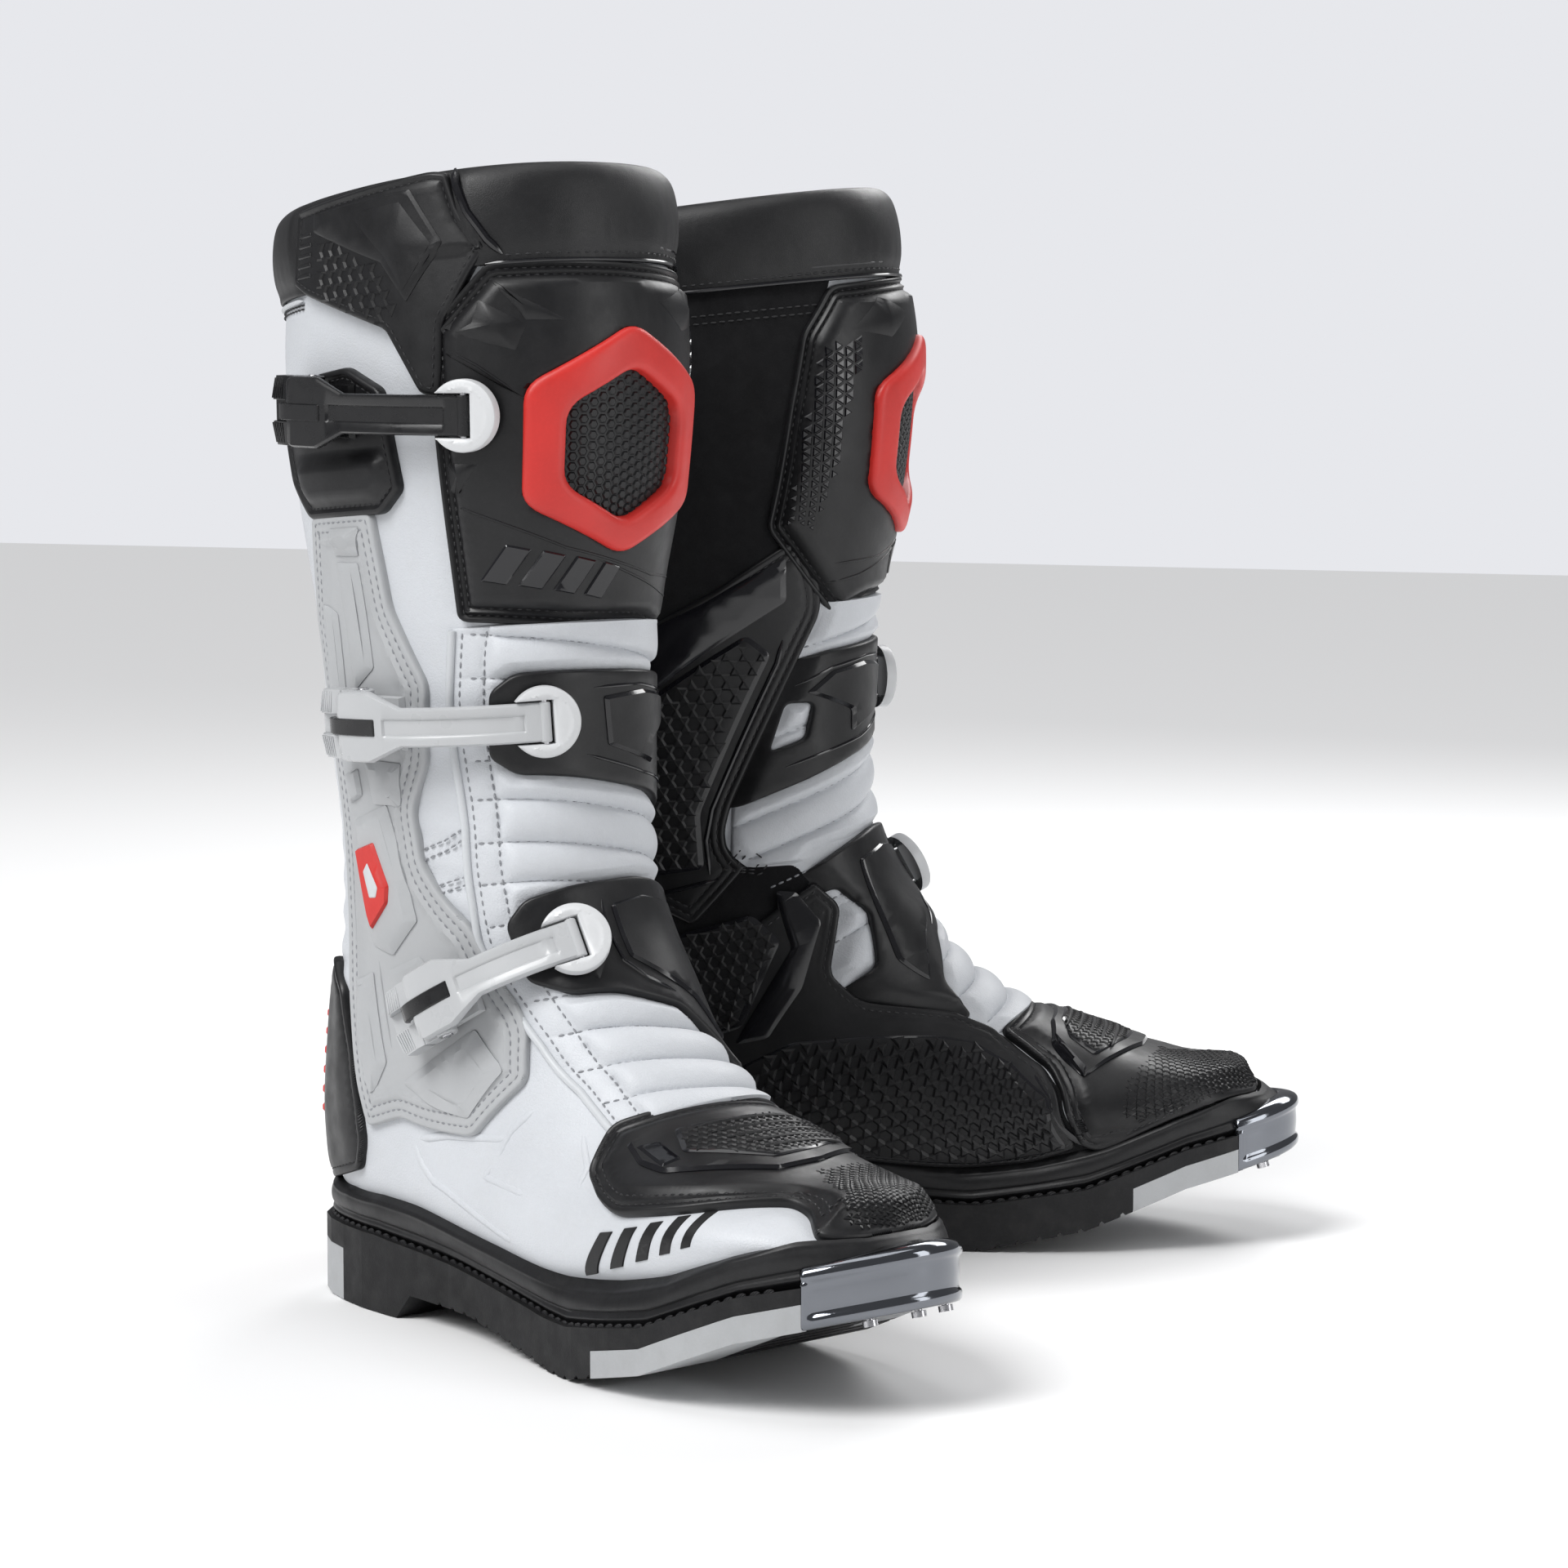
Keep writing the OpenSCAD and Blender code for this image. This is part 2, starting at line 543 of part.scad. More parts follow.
grip_from = 8.2;
grip_to = 22;
module lever(b) on_pin(b) {
    cylinder(d = pin_d, h = 2 * ear_out, center = true, $fn = 48);
    for (side = [-1, 1]) translate([0, 0, side * (ear_in + ear_out) / 2]) {
        cylinder(r = 3.9, h = ear_out - ear_in, center = true, $fn = 48);
        translate([0, grip_from / 2, 0]) cube([6, grip_from + 1, ear_out - ear_in], center = true);
    }
    // Two ribbed grips on one bar
    difference() {
        union() {
            translate([-3, grip_from, -ear_out]) cube([4, grip_to - grip_from, 2 * ear_out]);
            translate([-3, grip_from, -ear_out]) cube([8, grip_to - grip_from, 2 * ear_out]);
        }
        translate([1, grip_from - 1, -tab_w / 2 - 0.8]) cube([9, grip_to, tab_w + 1.6]);
        for (k = [0:3]) translate([5, grip_from + 3 + 3 * k, 0]) cube([1, 1, 40], center = true);
    }
}

module lever_top() color("#2c2c30") lever(buckle_top);
module lever_mid() color("lightgray") lever(buckle_mid);
module lever_low() color("lightgray") lever(buckle_low);
module strap_top() color("#2c2c30") strap(buckle_top);
module strap_mid() color("lightgray") strap(buckle_mid);
module strap_low() color("lightgray") strap(buckle_low);
module leg_strap_hubs() color("white") {
    strap_hub(buckle_top);
    strap_hub(buckle_mid);
}
module foot_strap_hub() color("white") strap_hub(buckle_low);

// The top buckle's base stands on a pad of its own
module leg_buckle_bases() {
    color("#2c2c30") {
        cover([[1.17, 86, 1.22, 123], [1.36, 76, 1.5, 123], [1.95, 71, 1.9, 120], [2.17, 78, 2.17, 111]],
            6, lay, guard_h);
        buckle_base(buckle_top, 4.4);
    }
    color("lightgray") buckle_base(buckle_mid, 4.2);
}
module foot_buckle_base() color("lightgray") buckle_base(buckle_low, 4.2);

// ---- the pair

// Moves a piece from its boot's frame to its place in the pair
half_length = 155;
module boot(side) translate([0, pair_shift, 0]) mirror([side == "left" ? 1 : 0, 0, 0])
    translate([-pair_gap / 2, 0, 0]) rotate([0, 0, -90 - toe_out]) translate([-half_length, 0, 0]) children();

function wanted(side, piece) = node == "all" || node == str(side, "_", piece);

for (side = SIDES) {
    if (wanted(side, "outsole")) boot(side) outsole();
    if (wanted(side, "sole_inserts")) boot(side) sole_inserts();
    if (wanted(side, "toe_plate")) boot(side) toe_plate();
    if (wanted(side, "toe_screws")) boot(side) toe_screws();
    if (wanted(side, "midsole")) boot(side) midsole();
    if (wanted(side, "shank")) boot(side) shank();
    if (wanted(side, "insole")) boot(side) insole();
    if (wanted(side, "foot_upper")) boot(side) foot_upper();
    if (wanted(side, "toe_guard")) boot(side) toe_guard();
    if (wanted(side, "heel_counter")) boot(side) heel_counter();
    if (wanted(side, "instep_plate")) boot(side) instep_plate();
    if (wanted(side, "ankle_brace")) boot(side) ankle_brace();
    if (wanted(side, "foot_buckle_base")) boot(side) foot_buckle_base();
    if (wanted(side, "foot_strap_hub")) boot(side) foot_strap_hub();
    if (wanted(side, "shaft")) boot(side) shaft();
    if (wanted(side, "collar")) boot(side) collar();
    if (wanted(side, "shin_plate")) boot(side) shin_plate();
    if (wanted(side, "calf_plate")) boot(side) calf_plate();
    if (wanted(side, "mid_plate")) boot(side) mid_plate();
    if (wanted(side, "side_brace")) boot(side) side_brace();
    if (wanted(side, "burn_guard")) boot(side) burn_guard();
    if (wanted(side, "leg_buckle_bases")) boot(side) leg_buckle_bases();
    if (wanted(side, "leg_strap_hubs")) boot(side) leg_strap_hubs();
    if (wanted(side, "ankle_bellows")) boot(side) ankle_bellows();
    if (wanted(side, "lever_top")) boot(side) lever_top();
    if (wanted(side, "lever_mid")) boot(side) lever_mid();
    if (wanted(side, "lever_low")) boot(side) lever_low();
    if (wanted(side, "strap_top")) boot(side) strap_top();
    if (wanted(side, "strap_mid")) boot(side) strap_mid();
    if (wanted(side, "strap_low")) boot(side) strap_low();
}
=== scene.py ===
import math
import bmesh
import bpy
import numpy as np
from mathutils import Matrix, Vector
from mathutils.geometry import delaunay_2d_cdt
from mathutils.kdtree import KDTree


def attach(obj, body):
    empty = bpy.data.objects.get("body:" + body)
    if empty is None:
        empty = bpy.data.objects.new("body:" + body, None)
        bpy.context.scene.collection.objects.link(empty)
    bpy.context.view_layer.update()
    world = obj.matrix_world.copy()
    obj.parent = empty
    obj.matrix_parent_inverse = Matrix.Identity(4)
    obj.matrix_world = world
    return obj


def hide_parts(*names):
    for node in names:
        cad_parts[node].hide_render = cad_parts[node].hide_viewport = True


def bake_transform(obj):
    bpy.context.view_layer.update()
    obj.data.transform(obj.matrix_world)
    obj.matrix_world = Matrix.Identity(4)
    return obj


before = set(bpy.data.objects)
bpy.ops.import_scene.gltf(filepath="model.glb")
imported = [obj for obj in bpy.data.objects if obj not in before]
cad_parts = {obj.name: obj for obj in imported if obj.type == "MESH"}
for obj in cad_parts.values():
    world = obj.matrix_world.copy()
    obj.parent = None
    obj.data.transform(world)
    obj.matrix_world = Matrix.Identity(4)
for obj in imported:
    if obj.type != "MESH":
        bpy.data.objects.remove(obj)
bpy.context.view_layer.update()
SIDES = ("right", "left")
MM = 0.001

# ---------------------------------------------------------------- boot skin
# Every piece is worked out in the boot's own frame, in millimetres: x to the
# toe, y to the inner side, z up. A skin point has a station s, an angle a in
# degrees (0 in front, positive to the outer side) and a height h above it.
STATIONS = np.array([
    [144, 404, -4, 386, 56, 56, 2.3, 2.2], [153, 354, -8, 340, 58, 56, 2.3, 2.2],
    [150, 302, -2, 292, 56, 53, 2.3, 2.2], [142, 262, 7, 248, 51, 49, 2.3, 2.2],
    [139, 230, 13, 206, 49, 47, 2.4, 2.2], [138, 198, 17, 168, 46, 46, 2.5, 2.2],
    [139, 168, 18, 132, 45, 45, 2.6, 2.3], [147, 146, 11, 96, 43, 46, 2.6, 2.5],
    [160, 127, 9, 58, 42, 47, 2.6, 2.8], [175, 108, 22, 36, 42, 48, 2.5, 3.2],
    [195, 93, 72, 34, 44, 48, 2.4, 3.6], [217, 82, 125, 30, 48, 46, 2.3, 4.0],
    [237, 75, 175, 28, 53, 44, 2.4, 4.0], [255, 70, 222, 33, 51, 41, 2.5, 3.6],
    [271, 66, 258, 42, 45, 35, 2.5, 3.2], [286, 61, 285, 48, 33, 24, 2.4, 2.8],
    [297, 56, 300, 52, 16, 10, 2.2, 2.4]], float)
LAST = len(STATIONS) - 1
PADDED_STATIONS = np.vstack([2 * STATIONS[0] - STATIONS[1], STATIONS, 2 * STATIONS[-1] - STATIONS[-2]])
ANKLE = np.array([78.0, 118.0])
# The V's angles in front of the ankle axis and behind it, and the height at which plates meet it
LEG_FRONT, FOOT_FRONT, LEG_BACK, FOOT_BACK = 49, 35, 22, 12
EDGE_HEIGHT = 2


def curved(p0, p1, p2, p3, t):
    """A Catmull-Rom curve from p1 to p2."""
    return p1 + t / 2 * (p2 - p0 + t * (2 * p0 - 5 * p1 + 4 * p2 - p3 + t * (3 * (p1 - p2) + p3 - p0)))


def station(s):
    i = np.clip(np.floor(s), 0, LAST - 1).astype(int)
    return curved(*(PADDED_STATIONS[i + k] for k in range(4)), (s - i)[..., None])


def on_skin(s, a):
    s, a = np.broadcast_arrays(np.asarray(s, float), np.asarray(a, float))
    c = station(s)
    cos, sin = np.cos(np.radians(a)), np.sin(np.radians(a))
    n = np.where(cos > 0, c[..., 6], c[..., 7])
    k = (np.abs(cos) ** n + np.abs(sin) ** n) ** (-1 / n)
    u, v = k * cos, k * sin
    w = np.where(v > 0, c[..., 4], c[..., 5])
    return np.stack([(c[..., 0] + c[..., 2] + u * (c[..., 0] - c[..., 2])) / 2, -v * w,
                     (c[..., 1] + c[..., 3] + u * (c[..., 1] - c[..., 3])) / 2], -1)


def unit(v):
    return v / np.maximum(np.linalg.norm(v, axis=-1, keepdims=True), 1e-12)


def slopes(s, a):
    """How a skin point moves per station and per degree."""
    return (on_skin(s + 0.02, a) - on_skin(s - 0.02, a)) / 0.04, on_skin(s, a + 0.5) - on_skin(s, a - 0.5)


def outwards(s, a):
    along, across = slopes(s, a)
    return unit(np.cross(across, along))


def skin(s, a, h):
    s, a, h = np.broadcast_arrays(*(np.asarray(k, float) for k in (s, a, h)))
    return on_skin(s, a) + h[..., None] * outwards(s, a)


def shifted(sa, move):
    """Skin points moved by 3-D vectors that lie along the skin."""
    along, across = slopes(sa[:, 0], sa[:, 1])
    p, q, r = (along * along).sum(-1), (along * across).sum(-1), (across * across).sum(-1)
    x, y = (along * move).sum(-1), (across * move).sum(-1)
    det = p * r - q * q
    return sa + np.stack([(r * x - q * y) / det, (p * y - q * x) / det], -1)


def v_station(a, h, front, back):
    """The station at which the V that opens from the ankle axis crosses the skin."""
    low, high = np.full(a.shape, 4.5), np.full(a.shape, 8.0)
    for _ in range(14):
        middle = (low + high) / 2
        x, _, z = skin(middle, a, h).T
        rise = np.degrees(np.arctan2(z - ANKLE[1], x - ANKLE[0]))
        above = (rise > front) & (rise < 180 - back)
        low, high = np.where(above, middle, low), np.where(above, high, middle)
    return (low + high) / 2


def leg_edge(a):
    return v_station(a, EDGE_HEIGHT, LEG_FRONT, LEG_BACK) - 0.05


def foot_edge(a):
    return v_station(a, EDGE_HEIGHT, FOOT_FRONT, FOOT_BACK) + 0.05


# ---------------------------------------------------------------- lines on the skin
ROUND = np.linspace(-0.2, LAST + 0.2, 330)
LENGTHS = np.concatenate([[0], np.cumsum(np.linalg.norm(np.diff(np.stack(
    [on_skin(ROUND, a) for a in range(0, 360, 30)]), axis=1), axis=-1).mean(0))])
PER_DEGREE = 0.85
# The rows of a triangular lattice, as a share of its step
ROW = 0.866


def flat(sa):
    return np.stack([np.interp(sa[:, 0], ROUND, LENGTHS), sa[:, 1] * PER_DEGREE], -1)


def unflat(uv):
    return np.stack([np.interp(uv[:, 0], LENGTHS, ROUND), uv[:, 1] / PER_DEGREE], -1)


def fillet(points, radius):
    """A closed outline with its corners rounded."""
    points = np.asarray(points, float)
    t = np.linspace(0, 1, 6)[:, None]
    out = []
    for before, p, after in zip(np.roll(points, 1, 0), points, np.roll(points, -1, 0)):
        lengths = [max(np.linalg.norm(on_skin(*other) - on_skin(*p)), 1e-6) for other in (before, after)]
        first, last = (p + (other - p) * min(radius / length, 0.45) for other,
                       length in zip((before, after), lengths))
        out.append((1 - t) ** 2 * first + 2 * t * (1 - t) * p + t * t * last)
    return np.vstack(out)


def dense(points, step, closed=True):
    """The same line with a point at least every step millimetres."""
    points = np.asarray(points, float)
    ends = np.vstack([points, points[:1]]) if closed else points
    out = []
    for p, q in zip(ends[:-1], ends[1:]):
        path = on_skin(*(p + (q - p) * np.linspace(0, 1, 9)[:, None]).T)
        n = max(1, math.ceil(travel(path)[-1] / step))
        out += [p + (q - p) * k / n for k in range(n)]
    return np.array(out if closed else out + [ends[-1]])


def travel(points):
    """The length of a line up to each of its points."""
    return np.concatenate([[0], np.cumsum(np.linalg.norm(np.diff(points, axis=0), axis=1))])


def resampled(points, along, at):
    """The points of a line at other lengths along it."""
    return np.stack([np.interp(at, along, column) for column in np.transpose(points)], -1)


def kept(sa, part, room=0.0):
    """Keeps a line on the leg's or on the foot's side of the ankle."""
    s, a = sa.T.copy()
    if part == "leg":
        s = np.where(s > 4.8, np.minimum(s, leg_edge(a) - room), s)
    if part == "foot":
        s = np.where(s < 7.4, np.maximum(s, foot_edge(a) + room), s)
    return np.stack([s, a], -1)


def turned(sa):
    """An outline in the order that has its inside on the left in the flat map."""
    u, v = flat(sa).T
    area = (u * np.roll(v, -1) - v * np.roll(u, -1)).sum()
    return sa if area > 0 else sa[::-1]


def inset(sa, distance):
    """A turned outline moved inwards along the skin."""
    p = on_skin(*sa.T)
    tangent = unit(np.roll(p, -1, 0) - np.roll(p, 1, 0))
    inwards = unit(np.cross(tangent, outwards(*sa.T)))
    along, _ = slopes(sa[:, 0], sa[:, 1])
    probe = shifted(sa, inwards * 0.5)
    sign = 1 if inside(probe, sa).mean() > 0.5 else -1
    return shifted(sa, sign * distance * inwards)


def contains(points, polygons):
    """Whether flat points lie inside polygons, by counting crossings."""
    u, v = points.T
    hit = np.zeros(len(u), bool)
    for p in polygons:
        q = np.roll(p, -1, 0)
        for (x0, y0), (x1, y1) in zip(p, q):
            if y0 != y1:
                hit ^= ((y0 > v) != (y1 > v)) & (u < x0 + (v - y0) * (x1 - x0) / (y1 - y0))
    return hit


def inside(sa, *outlines):
    """Whether points of the skin lie inside outlines."""
    return contains(flat(np.atleast_2d(sa)), [flat(line) for line in outlines])


def distance_to(p, lines):
    """Distance of each point to the nearest point of some dense lines."""
    tree = KDTree(sum(len(line) for line in lines))
    k = 0
    for line in lines:
        for q in line:
            tree.insert(q, k)
            k += 1
    tree.balance()
    return np.array([tree.find(q)[2] for q in p])


def noise(p, scale, seed=0.0):
    """Soft bumps from a few sine waves, from -1 to 1."""
    x, y, z = np.moveaxis(p / scale + seed, -1, 0)
    return (np.sin(x + 1.7 * np.sin(y * 0.8 + seed)) + np.sin(1.3 * y + 1.9 * np.sin(z * 0.7 + 2))
            + np.sin(1.1 * z + 1.6 * np.sin(x * 0.9 + 4))) / 3


def lookup(x, table):
    """A value between the rows of a table."""
    return np.interp(x, *np.transpose(table))


def height_at(base, sa):
    """A base height, or what it gives at skin points."""
    return base(sa) if callable(base) else base


def over(surface, lift):
    """A surface moved outwards."""
    return lambda sa: surface(sa) + lift


def quarter(t):
    """A quarter round that rises from 0 to 1."""
    return np.sqrt(1 - (1 - np.clip(t, 0, 1)) ** 2)


# ---------------------------------------------------------------- mesh building
class Shape:
    """Points and faces gathered for one piece, with a material number for each face."""

    def __init__(self):
        self.points, self.count = [], 0
        self.faces, self.mats = {3: [], 4: []}, {3: [], 4: []}

    def add(self, points, tris=(), quads=(), mat=0):
        """Adds points, and faces that number them from 0."""
        for faces in (tris, quads):
            if len(faces):
                self.cover(np.asarray(faces) + self.count, mat)
        self.points.append(np.reshape(points, (-1, 3)))
        self.count += len(self.points[-1])

    def cover(self, faces, mat=0):
        """Adds faces between any of the points."""
        size = faces.shape[-1]
        self.faces[size].append(faces)
        self.mats[size].append(np.full(len(faces), mat))

    def scatter(self, points, tris, quads, mat):
        """Adds copies of one small mesh, each with its own points."""
        first = (np.arange(len(points)) * points.shape[1])[:, None, None]
        self.add(points, (np.array(tris) + first).reshape(-1, 3), (np.array(quads) + first).reshape(-1, 4),
                 mat)


def grid_quads(rows, cols, ring=False):
    """Quads between rows of points; a ring's rows are closed."""
    i, j = np.meshgrid(np.arange(rows - 1), np.arange(cols if ring else cols - 1), indexing="ij")
    p, q = i * cols + j, i * cols + (j + 1) % cols
    return np.stack([p, p + cols, q + cols, q], -1).reshape(-1, 4)


def loop(n, start=0):
    """The numbers of a closed line's points, and of the points after them."""
    i = np.arange(n)
    return start + i, start + (i + 1) % n


# How far a boot is turned out, in degrees, and where its sole's middle stands in the pair
TOE_OUT, SOLE_MIDDLE, APART, BACKWARD = 20.6, 155, 111, 5.5


def placed(points, side):
    """Points of the boot's frame, in the pair's frame and in metres."""
    turn = math.radians(-90 - TOE_OUT)
    x, y = points[:, 0] - SOLE_MIDDLE, points[:, 1]
    X = math.cos(turn) * x - math.sin(turn) * y - APART
    Y = math.sin(turn) * x + math.cos(turn) * y - BACKWARD
    return np.stack([X if side == "right" else -X, Y, points[:, 2]], -1) * MM


def make(name, shape, materials, body, replaces=(), sharp=38, blend=None):
    """A piece on each boot, made from one shape."""
    points = np.vstack(shape.points)
    tris, quads = (np.vstack([np.zeros((0, size), int)] + shape.faces[size]) for size in (3, 4))
    mats = np.concatenate(shape.mats[3] + shape.mats[4])
    made = []
    for side in SIDES:
        t, q = (tris, quads) if side == "right" else (tris[:, ::-1], quads[:, ::-1])
        mesh = bpy.data.meshes.new(f"{side}_{name}")
        loops = np.concatenate([t.ravel(), q.ravel()])
        starts = np.concatenate([np.arange(len(t)) * 3, len(t) * 3 + np.arange(len(q)) * 4])
        mesh.vertices.add(len(points))
        mesh.vertices.foreach_set("co", placed(points, side).astype(np.float32).ravel())
        mesh.loops.add(len(loops))
        mesh.loops.foreach_set("vertex_index", loops.astype(np.int32))
        mesh.polygons.add(len(starts))
        mesh.polygons.foreach_set("loop_start", starts.astype(np.int32))
        mesh.polygons.foreach_set("material_index", mats.astype(np.int32))
        mesh.polygons.foreach_set("use_smooth", np.ones(len(starts), bool))
        mesh.update(calc_edges=True)
        mesh.validate()
        shell = bmesh.new()
        shell.from_mesh(mesh)
        bmesh.ops.recalc_face_normals(shell, faces=shell.faces)
        shell.to_mesh(mesh)
        shell.free()
        for m in materials:
            mesh.materials.append(m)
        mesh.set_sharp_from_angle(angle=math.radians(sharp))
        piece = bpy.data.objects.new(f"{side}_{name}", mesh)
        bpy.context.scene.collection.objects.link(piece)
        if blend:
            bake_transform(piece)
        else:
            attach(piece, f"{side}_{body}")
        if replaces:
            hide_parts(*(f"{side}_{node}" for node in replaces))
        made.append(piece)
    return made


def constrained(points, edges):
    """Triangles between flat points that keep the given edges. Points where edges cross come last."""
    out, _, tris, sources, _, _ = delaunay_2d_cdt([Vector(p) for p in points], edges, [], 0, 1e-5)
    index, extra = [], []
    for p, found in zip(out, sources):
        index.append(found[0] if found else len(points) + len(extra))
        if not found:
            extra.append(tuple(p))
    return (np.vstack([points, np.reshape(extra, (-1, 2))]),
            np.array(index)[np.array([t[:] for t in tris], int)])


def triangulated(outlines, inner):
    """Triangles of the region within outlines, over their points and some inner ones, all as (s, a)."""
    points = np.vstack([*outlines, np.reshape(inner, (-1, 2))])
    edges, k = [], 0
    for line in outlines:
        edges += np.stack(loop(len(line), k), -1).tolist()
        k += len(line)
    uv, tris = constrained(flat(points), edges)
    sa = np.vstack([points, unflat(uv[len(points):])])
    return sa, tris[inside(sa[tris].mean(1), *outlines)]


def hexagonal(outlines, step, margin):
    """Points of a triangular lattice inside outlines, away from their lines."""
    uv = flat(np.vstack(outlines))
    low, high = uv.min(0), uv.max(0)
    rows, cols = np.arange(low[0], high[0], step * ROW), np.arange(low[1], high[1], step)
    u, v = np.meshgrid(rows, cols, indexing="ij")
    v = v + (np.arange(len(rows)) % 2)[:, None] * step / 2
    sa = unflat(np.stack([u.ravel(), v.ravel()], -1))
    sa = sa[inside(sa, *outlines)]
    return sa[distance_to(on_skin(*sa.T), [on_skin(*line.T) for line in outlines]) > margin]


def plate(outline, top, radius, step, rings, low=-0.6, part=None, room=0.0, holes=()):
    """A closed sheet on the skin. top(sa, d, p) gives its height from the distance d to its edge.
    Returns the shape, a function that gives the height of its face, and its outer line."""
    rounded = [kept(dense(fillet(o, radius), 3), part, room) for o in (outline, *holes)]
    lines = [turned(dense(line, 1.1)) for line in rounded]
    edges = [on_skin(*line.T) for line in lines]
    inner = [hexagonal(lines, step, max(rings) + step * 0.5)]
    for distance in rings:
        for line in lines:
            moved = inset(line, distance if line is lines[0] else -distance)
            d = distance_to(on_skin(*moved.T), edges)
            inner.append(moved[(d > distance * 0.93) & inside(moved, *lines)])
    sa, tris = triangulated(lines, np.vstack(inner))
    p = on_skin(*sa.T)
    d = distance_to(p, [on_skin(*dense(line, 0.35).T) for line in lines])
    d[:sum(map(len, lines))] = 0
    points = skin(*sa.T, top(sa, d, p))
    below, below_tris = triangulated(lines, hexagonal(lines, 9, 4))
    under = skin(*below.T, low)
    shape = Shape()
    shape.add(points, facing(points, tris, sa))
    shape.add(under, facing(under, below_tris, below)[:, ::-1])
    walls, k = [], 0
    for line in lines:
        i, j = loop(len(line), k)
        walls.append(np.stack([i, i + len(points), j + len(points), j], -1))
        k += len(line)
    n = len(lines[0])
    across = np.cross(under[:n] - points[:n], np.roll(points[:n], -1, 0) - points[:n])
    out = on_skin(*lines[0].T) - on_skin(*inset(lines[0], 0.5).T)
    shape.cover(np.vstack(walls)[:, ::1 if (across * out).sum() > 0 else -1])

    line = turned(dense(rounded[0], 1.2))
    xyz = on_skin(*line.T)

    def surface(q):
        p = on_skin(*q.T)
        return top(q, distance_to(p, [xyz]), p)
    return shape, surface, line


def facing(points, tris, sa):
    """The same triangles, facing away from the skin."""
    a, b, c = (points[tris[:, k]] for k in range(3))
    out = (np.cross(b - a, c - a) * outwards(*sa[tris[:, 0]].T)).sum() > 0
    return tris[:, ::1 if out else -1]


def mitred(corners, distance):
    """A turned outline with few corners, each moved inwards along its bisector."""
    p = flat(corners)
    ahead = unit(np.roll(p, -1, 0) - p)
    after = np.stack([-ahead[:, 1], ahead[:, 0]], -1)
    before = np.roll(after, 1, 0)
    stretch = np.maximum(1 + (before * after).sum(-1, keepdims=True), 0.35)
    return unflat(p + (before + after) * distance / stretch)


def matched(first, second, step):
    """Two outlines with the same number of corners, divided into equally many points."""
    gaps = np.linalg.norm(on_skin(*np.roll(first, -1, 0).T) - on_skin(*first.T), axis=1)
    out = ([], [])
    for i, gap in enumerate(gaps):
        n = max(1, math.ceil(gap / step))
        for line, store in zip((first, second), out):
            p, q = line[i], line[(i + 1) % len(line)]
            store.extend(p + (q - p) * k / n for k in range(n))
    return np.array(out[0]), np.array(out[1])


def stamp(shape, outline, base, rise, bevel=0.8, radius=0.8, mat=0, side_mat=None):
    """A raised flat facet with bevelled edges. base is a height, or gives one from (s, a)."""
    corners = turned(np.asarray(outline, float))
    inner = fillet(mitred(corners, bevel), max(radius - bevel, 0.25))
    outer, inner = matched(fillet(corners, radius), inner, 2.2)
    side_mat = mat if side_mat is None else side_mat
    height = height_at(base, outer)
    points = np.stack([skin(*outer.T, height - 0.5), skin(*outer.T, height + rise * 0.25),
                       skin(*inner.T, height_at(base, inner) + rise)])
    n, start = len(outer), shape.count
    out = (np.cross(points[1, 0] - points[0, 0], points[0, 1] - points[0, 0])
           * (points[0, 0] - points[2].mean(0))).sum() > 0
    shape.add(points, quads=grid_quads(3, n, ring=True)[:, ::1 if out else -1], mat=side_mat)
    # The cap shares the last ring's points
    sa, tris = triangulated([inner], hexagonal([inner], 4.5, 2.2))
    cap = skin(*sa.T, height_at(base, sa) + rise)
    shape.cover(facing(cap, tris, sa) + start + 2 * n, mat)
    shape.add(cap[n:])
    fan(shape, start, n, flip=not out, mat=side_mat)


def local_frame(centre):
    """Unit steps along the boot and around it at a skin point, in millimetres, as changes of (s, a)."""
    here = np.array([centre])
    along, across = slopes(*here.T)
    e1 = unit(along)
    e2 = unit(np.cross(outwards(*here.T), e1))
    e2 *= np.sign((e2 * across).sum())
    return shifted(here, e1) - here, shifted(here, e2) - here


